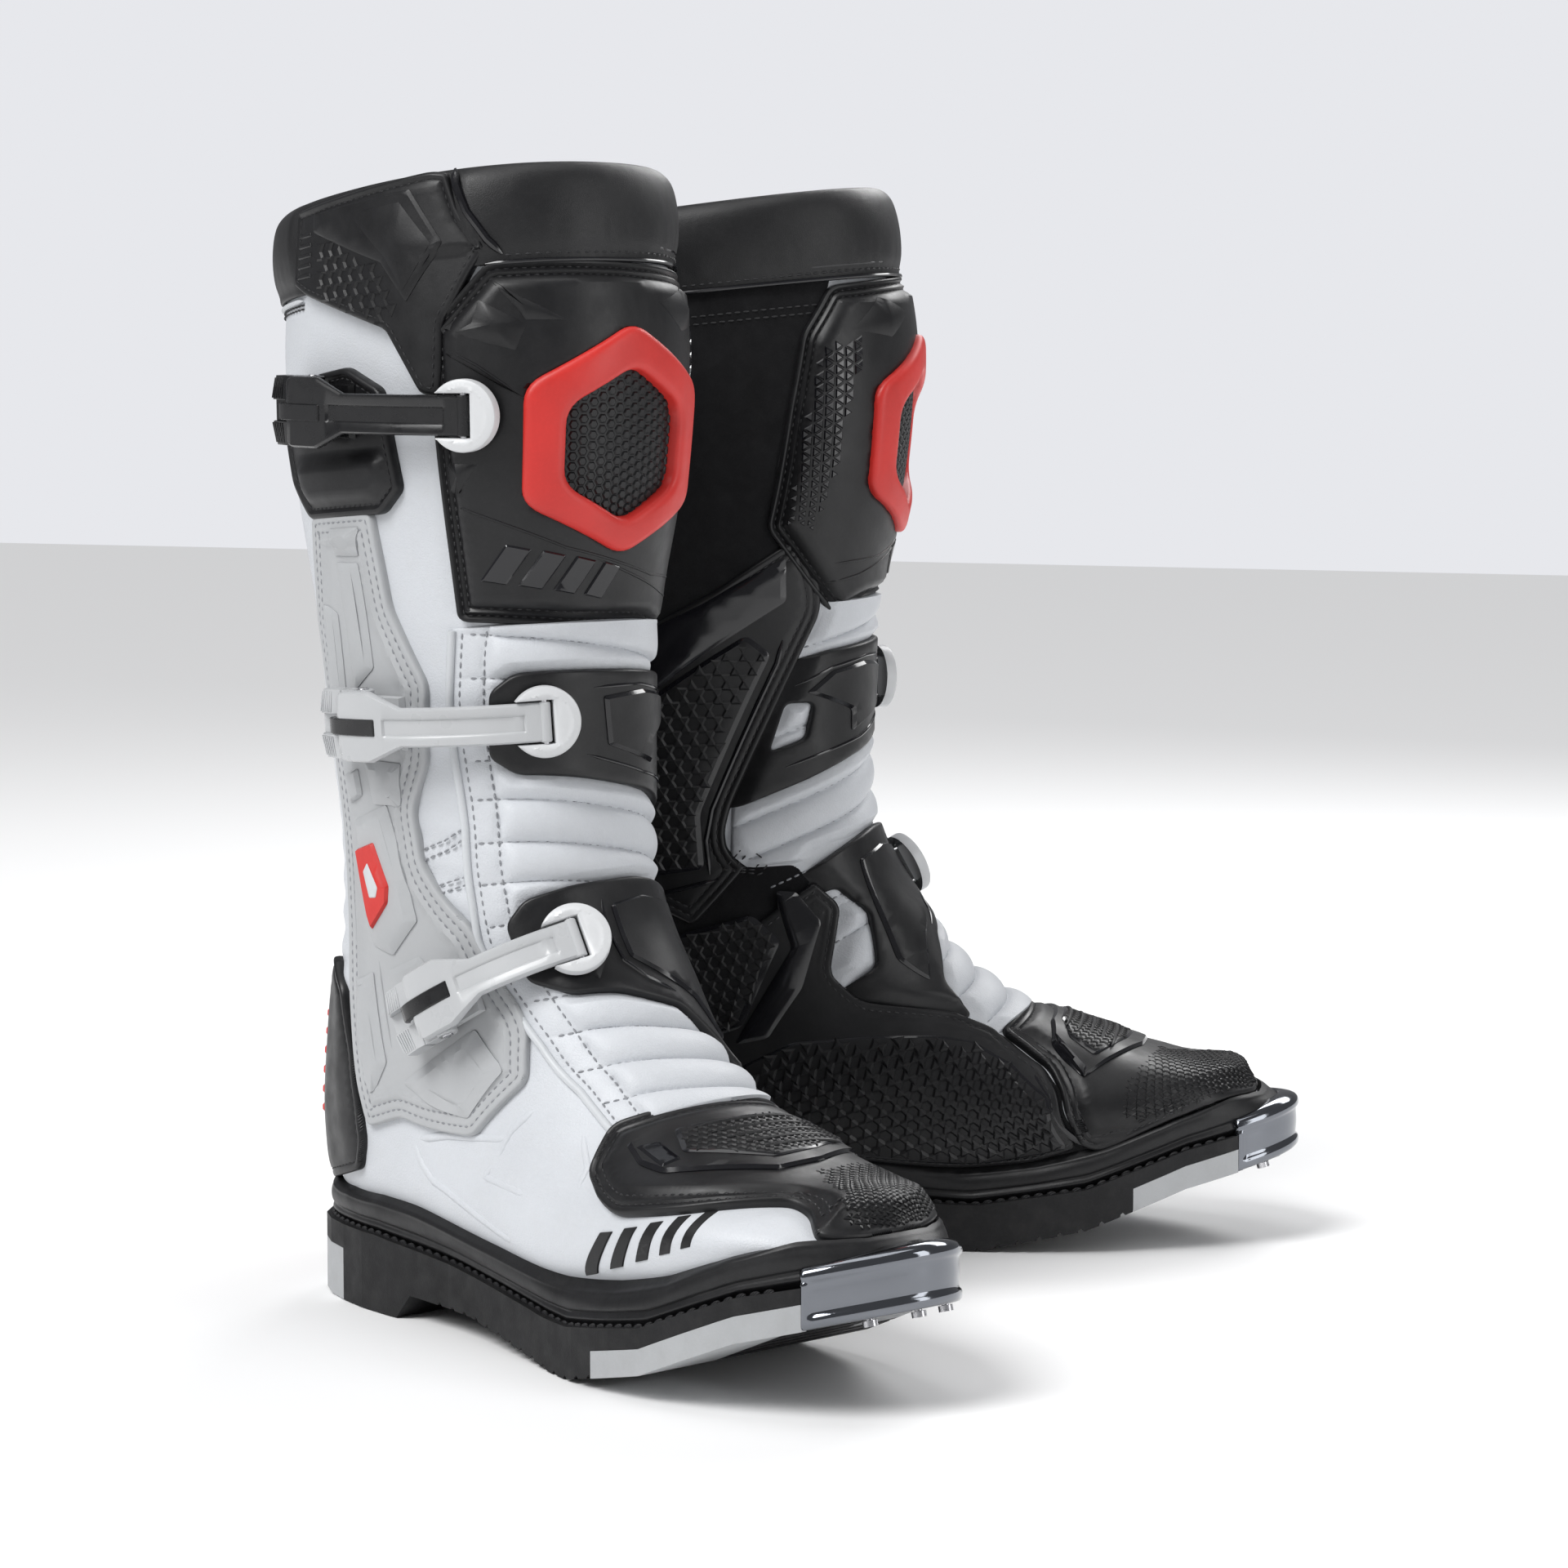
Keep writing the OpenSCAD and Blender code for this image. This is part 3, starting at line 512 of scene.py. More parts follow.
def studs(shape, region, base, pitch=4.6, size=0.8, rise=0.7, sides=3, turn=0.0, margin=1.5, mat=0, fade=None,
          taper=0.62):
    """Small raised polygons on a lattice over a region. Triangles point up and down by turns."""
    line = turned(dense(region, 2))
    centre = line.mean(0)
    down, round_ = local_frame(centre)
    span = 0.5 * max(np.ptp(flat(line), axis=0)) + 3 * pitch
    reach_down, reach_round = int(span / (pitch * ROW)) + 1, int(2 * span / pitch) + 1
    cells = []
    for r in range(-reach_down, reach_down + 1):
        for c in range(-reach_round, reach_round + 1):
            odd = (r + c) % 2
            if sides == 3:
                cells.append((r * pitch * ROW + pitch * (0.144 if odd else -0.144), c * pitch / 2,
                              0 if odd else 180))
            else:
                cells.append((r * pitch * ROW, (c + 0.5 * (r % 2)) * pitch, 0))
    x, y, turns = np.array(cells).T
    t = math.radians(turn)
    sa = (centre + (x * math.cos(t) - y * math.sin(t))[:, None] * down
          + (x * math.sin(t) + y * math.cos(t))[:, None] * round_)
    share = np.ones(len(sa)) if fade is None else np.clip(fade(sa), 0, 1)
    ok = inside(sa, line) & (share > 0.2)
    ok[ok] = distance_to(on_skin(*sa[ok].T), [on_skin(*line.T)]) > margin
    sa, turns, share = sa[ok], turns[ok], share[ok]
    angles = np.radians(np.arange(sides) * 360 / sides)[None, :] + np.radians(turns + turn)[:, None]
    n = outwards(*sa.T)
    e1 = unit(slopes(*sa.T)[0])
    e2 = unit(np.cross(n, e1))
    p = skin(*sa.T, height_at(base, sa))
    spokes = e1[:, None] * np.cos(angles)[..., None] + e2[:, None] * np.sin(angles)[..., None]
    reach = (pitch * (0.577 if sides == 3 else 0.5) * size * share)[:, None, None]
    h = (rise * share)[:, None]
    points = np.concatenate([(p + n * lift)[:, None] + spokes * (reach * scale)
                             for scale, lift in ((1.0, -0.4), (1.0, 0.1 * h), (taper, h))], 1)
    tris = [[2 * sides, 2 * sides + j, 2 * sides + j + 1] for j in range(1, sides - 1)]
    tris += [[0, j + 1, j] for j in range(1, sides - 1)]
    shape.scatter(points, tris, np.roll(grid_quads(3, sides, ring=True)[:, ::-1], 1, axis=1), mat)


def even(path, step):
    """Points along a line on the skin with even steps, and the direction there."""
    sa = dense(path, 0.8, closed=False)
    along = travel(on_skin(*sa.T))
    n = max(1, int(along[-1] / step))
    at = (np.arange(n) + 0.5) * along[-1] / n
    middle, ahead, behind = (resampled(sa, along, at + shift) for shift in (0, 0.5, -0.5))
    return middle, unit(on_skin(*ahead.T) - on_skin(*behind.T))


def stitches(shape, path, base, pitch=3.3, length=2.5, thick=0.42, mat=0):
    """A row of sewn stitches along a line."""
    sa, direction = even(path, pitch)
    stitch_at(shape, skin(*sa.T, height_at(base, sa)), direction, outwards(*sa.T), length, thick, mat, -0.13,
              -0.18)


def stitch_at(shape, p, direction, n, length, thick, mat, middle, tips):
    """Stitches at given points, with their directions and normals, and the heights of their line and tips."""
    side = unit(np.cross(n, direction))
    points = []
    for t in (-0.8, -0.3, 0.3, 0.8):
        radius = thick * math.sqrt(1 - t * t * 0.9)
        for angle in np.arange(5) * 2 * math.pi / 5:
            points.append(p + direction * (t * length / 2) + side * (radius * math.cos(angle))
                          + n * (middle + 0.32 * (1 - t * t) + radius * math.sin(angle)))
    points += [p + direction * (t * length / 2) + n * tips for t in (-1, 1)]
    tris = [[(k + 1) % 5, k, 20] for k in range(5)] + [[15 + k, 15 + (k + 1) % 5, 21] for k in range(5)]
    shape.scatter(np.stack(points, 1), tris, grid_quads(4, 5, ring=True)[:, ::-1], mat)


def cord(shape, path, base, radius=0.8, around=8, step=1.4, mat=0, squash=1.0, taper=True):
    """A rounded rib or piping along a line."""
    sa = dense(path, step, closed=False)
    n = outwards(*sa.T)
    p = skin(*sa.T, height_at(base, sa))
    side = unit(np.cross(n, unit(np.gradient(p, axis=0))))
    to_end = np.minimum(np.arange(len(sa)), np.arange(len(sa))[::-1])
    r = radius * (np.clip((to_end + 0.6) / 3.0, 0.25, 1) if taper else np.ones(len(sa)))
    t = np.linspace(0, 2 * math.pi, around, endpoint=False)
    across, up = np.cos(t) * r[:, None], np.sin(t) * r[:, None] * squash
    ring = p[:, None] + side[:, None] * across[..., None] + n[:, None] * up[..., None]
    last = (len(sa) - 1) * around
    ends = ([[0, j, j + 1] for j in range(1, around - 1)]
            + [[last, last + j + 1, last + j] for j in range(1, around - 1)])
    shape.add(ring, ends, grid_quads(len(sa), around, ring=True), mat)


def soft_edge(full, edge=0.9, reach=1.6):
    """A height that rises from edge to full over reach millimetres in a quarter round."""
    return lambda sa, d, p: edge + (full - edge) * quarter(d / reach)


def step_up(x, low, high):
    t = np.clip((x - low) / (high - low), 0, 1)
    return t * t * (3 - 2 * t)


def groove(d, at, width, depth):
    return -depth * np.exp(-((d - at) / width) ** 2)


# ---------------------------------------------------------------- materials
def node(tree, kind, inputs, **settings):
    """A new shader node. inputs gives numbers, colours or other nodes' sockets."""
    made = tree.nodes.new("ShaderNode" + kind)
    for key, value in settings.items():
        setattr(made, key, value)
    for key, value in inputs.items():
        if isinstance(value, bpy.types.NodeSocket):
            tree.links.new(value, made.inputs[key])
        else:
            made.inputs[key].default_value = value
    return made.outputs


def finish(name, color, rough=(0.4, 0.5), vary=0.15, patch=30.0, grain=(), metallic=0.0, coat=0.0,
           sheen=0.0, spec=0.5, dust=0.0, dust_color=(0.5, 0.5, 0.5)):
    """A procedural finish. grain lists (kind, features per metre, depth in mm)."""
    mat = bpy.data.materials.new(name)
    mat.use_nodes = True
    tree = mat.node_tree
    shader = tree.nodes["Principled BSDF"]
    for key, value in {"Metallic": metallic, "Coat Weight": coat, "Coat Roughness": 0.08,
                       "Sheen Weight": sheen,
                       "Sheen Roughness": 0.5, "Specular IOR Level": spec}.items():
        shader.inputs[key].default_value = value
    place = node(tree, "TexCoord", {})["Object"]

    def noise_node(scale, detail=3.0):
        return node(tree, "TexNoise", {"Scale": scale, "Detail": detail, "Vector": place})["Fac"]

    def ranged(value, low, high, start=0.3, end=0.7):
        return node(tree, "MapRange", {"From Min": start, "From Max": end, "To Min": low, "To Max": high,
                                       "Value": value})["Result"]

    def mixed(factor, a, b):
        return node(tree, "Mix", {"Factor": factor, "A": a, "B": b}, data_type="RGBA")["Result"]

    patches = noise_node(patch)
    base = mixed(ranged(patches, 0, 1), (*(max(0, c * (1 - vary)) for c in color), 1), (*color, 1))
    speckle = noise_node(patch * 22, 2.0)
    base = mixed(ranged(speckle, 0, vary * 0.8, 0.45, 0.75), base,
                 (*(min(1, c * 1.25 + 0.004) for c in color), 1))
    if dust:
        base = mixed(ranged(noise_node(140, 6), 0, dust, 0.5, 0.72), base, (*dust_color, 1))
    tree.links.new(base, shader.inputs["Base Color"])
    tree.links.new(ranged(noise_node(patch * 3.1, 5), *rough), shader.inputs["Roughness"])
    normal = {}
    for kind, scale, depth in grain:
        if kind == "noise":
            height = noise_node(scale, 4.0)
        elif kind == "cells":
            edges = node(tree, "TexVoronoi", {"Scale": scale, "Vector": place}, feature="DISTANCE_TO_EDGE")
            height = ranged(edges["Distance"], 0, 1, 0.0, 0.18)
        elif kind == "dots":
            dots = node(tree, "TexVoronoi", {"Scale": scale, "Randomness": 0.0, "Vector": place})
            height = ranged(dots["Distance"], 1, 0, 0.15, 0.5)
        else:
            height = node(tree, "TexWave", {"Scale": scale, "Distortion": 0.6, "Vector": place},
                          bands_direction=kind)["Fac"]
        bump = node(tree, "Bump", {"Strength": 1.0, "Distance": depth * MM, "Height": height, **normal})
        normal = {"Normal": bump["Normal"]}
    if normal:
        tree.links.new(normal["Normal"], shader.inputs["Normal"])
    return mat


WHITE = finish("white_leather_grain", (0.60, 0.62, 0.65), (0.40, 0.52), 0.07, 22, dust=0.10,
               dust_color=(0.55, 0.55, 0.54),
               grain=(("cells", 760, 0.05), ("noise", 2600, 0.03), ("noise", 90, 0.25)))
QUILT = finish("white_quilt_leather", (0.61, 0.63, 0.66), (0.44, 0.56), 0.07, 26, dust=0.06,
               dust_color=(0.52, 0.52, 0.52), grain=(("cells", 900, 0.05), ("noise", 240, 0.22)))
PIPING = finish("white_piping", (0.58, 0.60, 0.62), (0.36, 0.48), 0.08, 40, grain=(("noise", 1500, 0.03),))
PLATE = finish("black_plate_rubber", (0.008, 0.008, 0.009), (0.34, 0.48), 0.35, 35, spec=0.4, dust=0.04,
               dust_color=(0.05, 0.05, 0.055), grain=(("noise", 3200, 0.018), ("noise", 700, 0.03)))
GLOSS = finish("black_gloss_rubber", (0.007, 0.007, 0.009), (0.10, 0.20), 0.3, 30, spec=0.6,
               grain=(("noise", 500, 0.012),))
COLLAR = finish("black_collar_leather", (0.009, 0.009, 0.010), (0.38, 0.48), 0.3, 24, spec=0.4, sheen=0.02,
                grain=(("cells", 1500, 0.025), ("noise", 120, 0.2)))
SUEDE = finish("black_suede_nap", (0.006, 0.006, 0.007), (0.85, 0.98), 0.4, 60, sheen=0.12, spec=0.2,
               dust=0.10,
               dust_color=(0.03, 0.03, 0.032), grain=(("noise", 1800, 0.16), ("noise", 5200, 0.1)))
GREY = finish("grey_brace_rubber", (0.42, 0.43, 0.44), (0.36, 0.48), 0.06, 30, dust=0.06,
              dust_color=(0.42, 0.42, 0.42), grain=(("noise", 2400, 0.02), ("noise", 500, 0.03)))
GREY_PLASTIC = finish("grey_buckle_plastic", (0.48, 0.49, 0.50), (0.26, 0.36), 0.05, 40, coat=0.15,
                      grain=(("noise", 1200, 0.012),))
BLACK_PLASTIC = finish("black_buckle_plastic", (0.009, 0.009, 0.010), (0.22, 0.36), 0.3, 50, coat=0.1,
                       grain=(("noise", 1400, 0.015),))
WHITE_PLASTIC = finish("white_anchor_plastic", (0.64, 0.65, 0.66), (0.34, 0.44), 0.04, 50, coat=0.05,
                       grain=(("noise", 900, 0.012),))
RED = finish("red_rubber", (0.62, 0.028, 0.022), (0.38, 0.50), 0.14, 45,
             grain=(("noise", 2600, 0.02), ("noise", 600, 0.02)))
RAND = finish("black_rand_rubber", (0.008, 0.008, 0.009), (0.36, 0.50), 0.4, 28, spec=0.4, dust=0.07,
              dust_color=(0.045, 0.045, 0.048), grain=(("noise", 1900, 0.04), ("noise", 260, 0.1)))
SOLE = finish("black_sole_rubber", (0.010, 0.010, 0.011), (0.55, 0.72), 0.4, 40, spec=0.35, dust=0.12,
              dust_color=(0.06, 0.058, 0.055), grain=(("noise", 1500, 0.08),))
SOLE_GREY = finish("grey_sole_rubber", (0.40, 0.41, 0.42), (0.55, 0.70), 0.12, 40, dust=0.25,
                   dust_color=(0.30, 0.30, 0.30), grain=(("noise", 1700, 0.07),))
# Base colour painted dark: a painted reflection of dark studio surroundings that the polished toe plate would
# mirror, not the steel's own colour
CHROME_PAINTED_DARK_REFLECTION = finish("polished_steel", (0.19, 0.20, 0.22), (0.06, 0.14), 0.05, 60, metallic=1.0,
                grain=(("noise", 160, 0.05),))
STEEL = finish("screw_steel", (0.62, 0.62, 0.64), (0.22, 0.36), 0.1, 300, metallic=1.0,
               grain=(("noise", 1500, 0.02),))
GREY_THREAD = finish("grey_thread", (0.33, 0.34, 0.36), (0.6, 0.8), 0.3, 500, grain=(("DIAGONAL", 900, 0.1),))
BLACK_THREAD = finish("black_thread", (0.022, 0.022, 0.024), (0.45, 0.65), 0.3, 500,
                      grain=(("DIAGONAL", 900, 0.1),))
LINING = finish("black_mesh_lining", (0.018, 0.018, 0.020), (0.85, 0.95), 0.3, 50, sheen=0.15, spec=0.25,
                grain=(("dots", 420, 0.3), ("noise", 2500, 0.08)))
INSOLE = finish("black_insole_felt", (0.03, 0.03, 0.032), (0.85, 0.95), 0.3, 50, sheen=0.15, spec=0.2,
                grain=(("noise", 2600, 0.15),))


# ---------------------------------------------------------------- leather shell, lining and quilt
def skin_grid(shape, S, A, H, ring=False, out=True, mat=0):
    """A grid of skin points with rows along the boot and columns around it."""
    shape.add(skin(S, A, H), quads=grid_quads(*S.shape, ring=ring)[:, ::-1 if out else 1], mat=mat)


def bridge(shape, first, second, count, mat=0):
    """Quads between two closed rows of equally many points."""
    (i, j), (p, q) = loop(count, first), loop(count, second)
    shape.cover(np.stack([p, q, j, i], -1), mat)


def fan(shape, first, count, flip=False, mat=0):
    """Closes a ring of points that were just added with a fan to their middle."""
    i, j = loop(count, first)
    shape.cover(np.stack([i, j, np.full(count, shape.count)], -1)[:, ::-1 if flip else 1], mat)
    shape.add(np.vstack(shape.points)[first:first + count].mean(0))


LEATHER_AROUND = 150
# Two points across the ankle's band; a piece given them is baked in place instead of riding a body, and the
# points themselves are not read
BEND = ((69.3, 0, 157.9), (73.3, 0, 142.3))


def leather():
    shape = Shape()
    angles = np.linspace(-180, 180, LEATHER_AROUND, endpoint=False)
    rows = np.concatenate([np.linspace(0.06, 8, 170), np.linspace(8.04, 16, 130)])
    S, A = np.meshgrid(rows, angles, indexing="ij")
    p = on_skin(S, A)
    creases = np.exp(-((S - 6.2) / 1.1) ** 2) * np.clip(np.cos(np.radians(A - 90)) + 0.2, 0, 1)
    H = 0.35 * noise(p, 17) - 0.2 + 0.5 * creases * np.sin(p[..., 2] * 0.5 + 1.5 * np.sin(p[..., 0] * 0.11))
    skin_grid(shape, S, A, H, ring=True)
    fan(shape, shape.count - LEATHER_AROUND, LEATHER_AROUND, flip=True)
    S, A = np.meshgrid(np.linspace(0.06, 15, 110), angles, indexing="ij")
    swell = 0.9 * np.abs(np.sin(np.radians(A * 6))) * np.clip((S - 0.4) / 0.6, 0, 1) * np.clip(6.5 - S, 0, 1)
    lining = shape.count
    skin_grid(shape, S, A, -4.2 - swell, ring=True, out=False, mat=1)
    fan(shape, shape.count - LEATHER_AROUND, LEATHER_AROUND, mat=1)
    bridge(shape, 0, lining, LEATHER_AROUND, mat=1)
    make("leather", shape, [WHITE, LINING], None, ["shaft", "foot_upper"], blend=BEND,
         sharp=60)


# Outlines that other pieces share, as (s, a)
MID_PLATE = [(3.86, -42), (3.80, 35), (3.97, 43), (4.67, 44), (4.90, 35), (5.03, 6), (5.20, -29), (5.34, -50),
             (5.46, -74), (5.42, -81), (4.55, -70), (3.92, -58)]
MID_WINDOW = [(4.44, -47), (4.38, -57), (4.90, -63), (4.84, -50)]
INSTEP_PLATE = [(6.28, -21), (6.33, 17), (6.42, 36), (6.72, 43.5), (7.66, 42), (8.03, 31), (8.16, 13),
                (8.50, -14),
                (9.20, -31), (9.95, -37), (9.85, -43), (8.60, -62), (8.1, -68), (7.0, -66), (6.5, -56),
                (6.3, -50)]
INSTEP_WINDOW = [(7.02, -45), (7.02, -54), (7.9, -60), (8.55, -59), (8.45, -46), (7.6, -39)]
PIPE_EDGE = [(3.28, 55.5), (4.0, 57), (4.6, 56.5), (5.38, 54), (6.3, 53.5), (6.83, 54), (7.65, 51), (8.6, 46),
             (9.5, 43.5), (10.4, 45)]
MEDIAL_EDGE = [(3.28, -50), (4.0, -60), (5.2, -76), (6.2, -78), (6.7, -68), (7.5, -70), (8.4, -77),
               (9.3, -64),
               (10.4, -52)]
INNER_FRONT = [(3.40, -44), (5.43, -77), (5.70, -79.5), (5.93, -79), (6.25, -72), (6.43, -56), (7.30, -46.5),
               (8.22, -58),
               (8.88, -55), (9.73, -40), (10.30, -37.5)]
# Each sewn channel: station at the piping, and how much it moves per degree towards the inner side
SEAMS = [(3.33, 0.0045), (3.80, 0.0045), (4.25, 0.0045), (4.68, 0.0046), (5.10, 0.0047), (5.58, 0.0047),
         (6.08, 0.0050), (6.68, 0.0050), (7.25, 0.0055), (7.86, 0.0062), (8.42, 0.0062), (9.05, 0.0052),
         (9.70, 0.0045), (10.3, 0.0035)]
QUILT_BORDER = 10.5
QUILT_BASE = 0.6
PUFF = 3.9


def seam_station(seam, a):
    """Where a seam runs at an angle; it kinks upwards within the lateral border."""
    start, slope = seam
    return (start + slope * np.clip(50 - a, 0, None)
            + 0.008 * np.clip(50 - a, 0, 10) * np.clip((start - 7) / 2, 0, 1))


def pressed(sa):
    """How free the quilt is of the plates that lie over it, from 0 to 1."""
    free = np.ones(len(sa))
    for outline, window in ((MID_PLATE, MID_WINDOW), (INSTEP_PLATE, INSTEP_WINDOW)):
        line, hole = dense(outline, 1.5), dense(window, 1.5)
        d = distance_to(on_skin(*sa.T), [on_skin(*line.T), on_skin(*hole.T)])
        covered = inside(sa, line, hole)
        free = np.minimum(free, np.where(covered, 0, np.clip(d / 4.0, 0, 1)))
    return free


def quilt_height(sa, free):
    """The quilt's height: puffs between seams, flat at the lateral border."""
    s, a = sa.T
    p = on_skin(s, a)
    stations = np.stack([seam_station(seam, a) for seam in SEAMS])
    above = (stations <= s).sum(0)
    stations = np.vstack([s - 0.2, stations, np.where(above == len(SEAMS), s + 0.2, 0)])
    stations[0] = np.where(above == 0, s - 0.2, 0)
    low, high = (np.take_along_axis(stations, above[None] + k, 0)[0] for k in (0, 1))
    t = np.clip((s - low) / np.maximum(high - low, 1e-6), 0, 1)
    puff = np.sqrt(np.clip(1 - (2 * t - 1) ** 2, 0, 1)) ** 1.15
    edge = (lookup(s, PIPE_EDGE) - a) * PER_DEGREE
    border = quarter((edge - QUILT_BORDER) / 5)
    medial = np.clip((a - lookup(s, INNER_FRONT)) * PER_DEGREE / 5, 0, 1)
    inner_puff = np.sqrt(np.clip(1 - (2 * np.clip((edge - 3) / (QUILT_BORDER - 3), 0, 1) - 1) ** 2, 0, 1))
    wrinkle = 0.16 * noise(p * np.array([1, 0.5, 1]), 2.6) * (1 - 0.7 * puff) + 0.12 * noise(p, 6.5)
    h = (QUILT_BASE + PUFF * puff * border * medial * (0.25 + 0.75 * free)
         + 0.8 * inner_puff * puff * (0.3 + 0.7 * free))
    return h + wrinkle * (0.3 + 0.7 * free) * medial


def quilt():
    shape = Shape()
    rows, cols = 430, 96
    s = np.linspace(3.26, 10.42, rows)
    t = np.linspace(0, 1, cols)
    A = lookup(s, MEDIAL_EDGE)[:, None] * (1 - t) + (lookup(s, PIPE_EDGE))[:, None] * t
    S = np.repeat(s[:, None], cols, 1)
    sa = np.stack([S.ravel(), A.ravel()], -1)
    H = quilt_height(sa, pressed(sa)).reshape(S.shape)
    H[:, 0] = H[:, -1] = H[0] = H[-1] = 0.2
    skin_grid(shape, S, A, H)
    skin_grid(shape, S, A, np.full(S.shape, -0.9), out=False)
    edge = np.concatenate([np.arange(cols), np.arange(1, rows) * cols + cols - 1,
                           (rows - 1) * cols + np.arange(cols - 2, -1, -1),
                           np.arange(rows - 2, 0, -1) * cols])
    after = np.roll(edge, -1)
    shape.cover(np.stack([edge + S.size, after + S.size, after, edge], -1))
    make("quilt", shape, [QUILT], None, ["ankle_bellows"], blend=BEND, sharp=70)

    trim = Shape()
    cord(trim, PIPE_EDGE, 0.9, radius=1.5, around=10, step=2.0, taper=False)
    for offset in (3.0, QUILT_BORDER - 0.6):
        path = [(k, lookup(k, PIPE_EDGE) - offset / PER_DEGREE) for k in np.linspace(3.3, 10.3, 40)]
        stitches(trim, path, lambda q: quilt_height(q, pressed(q)) + 0.05, mat=1)
    for seam in SEAMS:
        path = []
        for a in np.linspace(50, -72, 40):
            k = float(seam_station(seam, np.array(a)))
            if 3.28 < k < 10.35 and a > lookup(k, MEDIAL_EDGE) + 2 and a < lookup(k, PIPE_EDGE) - 3:
                path.append((k, a))
        if len(path) > 3:
            stitches(trim, path, lambda q: quilt_height(q, pressed(q)) + 0.1, mat=1)
    make("quilt_piping", trim, [PIPING, GREY_THREAD], None, blend=BEND)


# ---------------------------------------------------------------- the leg's covers
def collar():
    """The padded roll over the rim, closed round its section and pressed flatter where the calf plate is."""
    outside = [(0.56, 0.8), (0.555, 2.0), (0.50, 2.7), (0.40, 4.5), (0.25, 5.9), (0.10, 6.1), (-0.02, 5.2),
               (-0.09, 3.2),
               (-0.125, 0.6), (-0.125, -2.5), (-0.10, -5.5), (0.0, -7.6), (0.15, -8.4), (0.4, -7.6),
               (0.55, -5.2)]
    outside = np.array(outside[:1] + outside + outside[-1:])
    t = np.linspace(0, len(outside) - 3, 58)
    i = np.minimum(t.astype(int), len(outside) - 4)
    path = curved(*(outside[i + k] for k in range(4)), (t - i)[:, None])
    angles = np.linspace(0, 360, 250, endpoint=False)
    n = len(angles)
    S, H = (np.repeat(column[:, None], n, 1) for column in path.T)
    A = np.tile(angles, (len(path), 1))
    H = H + 0.35 * noise(on_skin(np.clip(S, 0, 1), A), 21, 3.0)
    fade = np.clip((0.5 - S) / 0.2, 0, 1)
    H = H + 0.22 * np.sin(A * 0.9 + 2.5 * np.sin(A * 0.21)) * fade * np.exp(-((S - 0.42) / 0.1) ** 2)
    under_plate = np.clip((A - 46) / 7, 0, 1) * np.clip((112 - A) / 5, 0, 1)
    H = np.where(H > 0, H * (1 - 0.6 * under_plate), H)
    shape = Shape()
    skin_grid(shape, S, A, H, ring=True)
    inner = np.array([(0.55, -5.0), (0.4, -4.3), (0.2, -3.8), (0.06, -3.0), (0.05, 0.2), (0.2, 0.4),
                      (0.4, 0.4),
                      (0.56, 0.5)])
    S, H = (np.repeat(column[:, None], n, 1) for column in inner.T)
    skin_grid(shape, S, np.tile(angles, (len(inner), 1)), H, ring=True)
    bridge(shape, (len(path) - 1) * n, len(path) * n, n)
    bridge(shape, shape.count - n, 0, n)
    make("collar_pad", shape, [COLLAR], "leg", ["collar"], sharp=60)
    trim = Shape()
    for s, r in ((0.455, 0.75), (0.555, 0.8)):
        cord(trim, [(s, a) for a in range(248, 404, 5)], 2.6, radius=r, step=2.0)
    stitches(trim, [(0.505, a) for a in range(248, 402, 5)], 2.5, mat=1)
    cord(trim, [(-0.13, 49.5), (-0.09, 49.2), (0.0, 48.5), (0.2, 46), (0.40, 41.5), (0.50, 38)],
         lambda q: np.interp(q[:, 0], [-0.13, -0.09, -0.02, 0.1, 0.25, 0.4, 0.5],
                             [1.5, 3.6, 5.4, 6.3, 6.1, 5.0, 3.4]),
         radius=1.5, step=1.5)
    # The back of the collar ends in a sewn edge over the white leather
    cord(trim, [(0.60, a) for a in range(110, 246, 5)], 0.8, radius=0.9, step=2.0, mat=2)
    for s in (0.63, 0.66):
        stitches(trim, [(s, a) for a in range(110, 246, 5)], 0.15, mat=1)
    make("collar_trim", trim, [GLOSS, BLACK_THREAD, PIPING], "leg")


def scaled(outline, factor):
    outline = np.array(outline, float)
    return outline.mean(0) + (outline - outline.mean(0)) * factor


def bordered(full, first=3.0, lip=3.4, reach=7.0):
    """A stepped edge: a rolled lip, a sewn groove, a second bead, then the face."""
    def height(sa, d, p):
        h = (first - 1.6 + 1.6 * quarter(d / 1.1) + groove(d, 2.6, 0.7, 1.2)
             + (lip - first) * step_up(d, 3.0, 4.0) + groove(d, 5.2, 0.6, 0.9))
        face = full(sa, p) if callable(full) else full
        return h + (face - lip) * step_up(d, 5.6, reach + 1.5)
    return height


SHIN_PLATE = [(0.60, -46), (0.56, 0), (0.54, 43), (0.95, 59.5), (1.45, 59.5), (2.27, 56.5), (3.20, 53),
              (3.33, 16),
              (3.37, -20), (3.52, -37), (3.0, -51), (2.45, -65), (1.48, -60), (0.95, -56)]
FRAME_OUT = [(0.98, 0), (1.36, 34), (2.16, 34), (2.60, 0), (2.16, -34), (1.36, -34)]


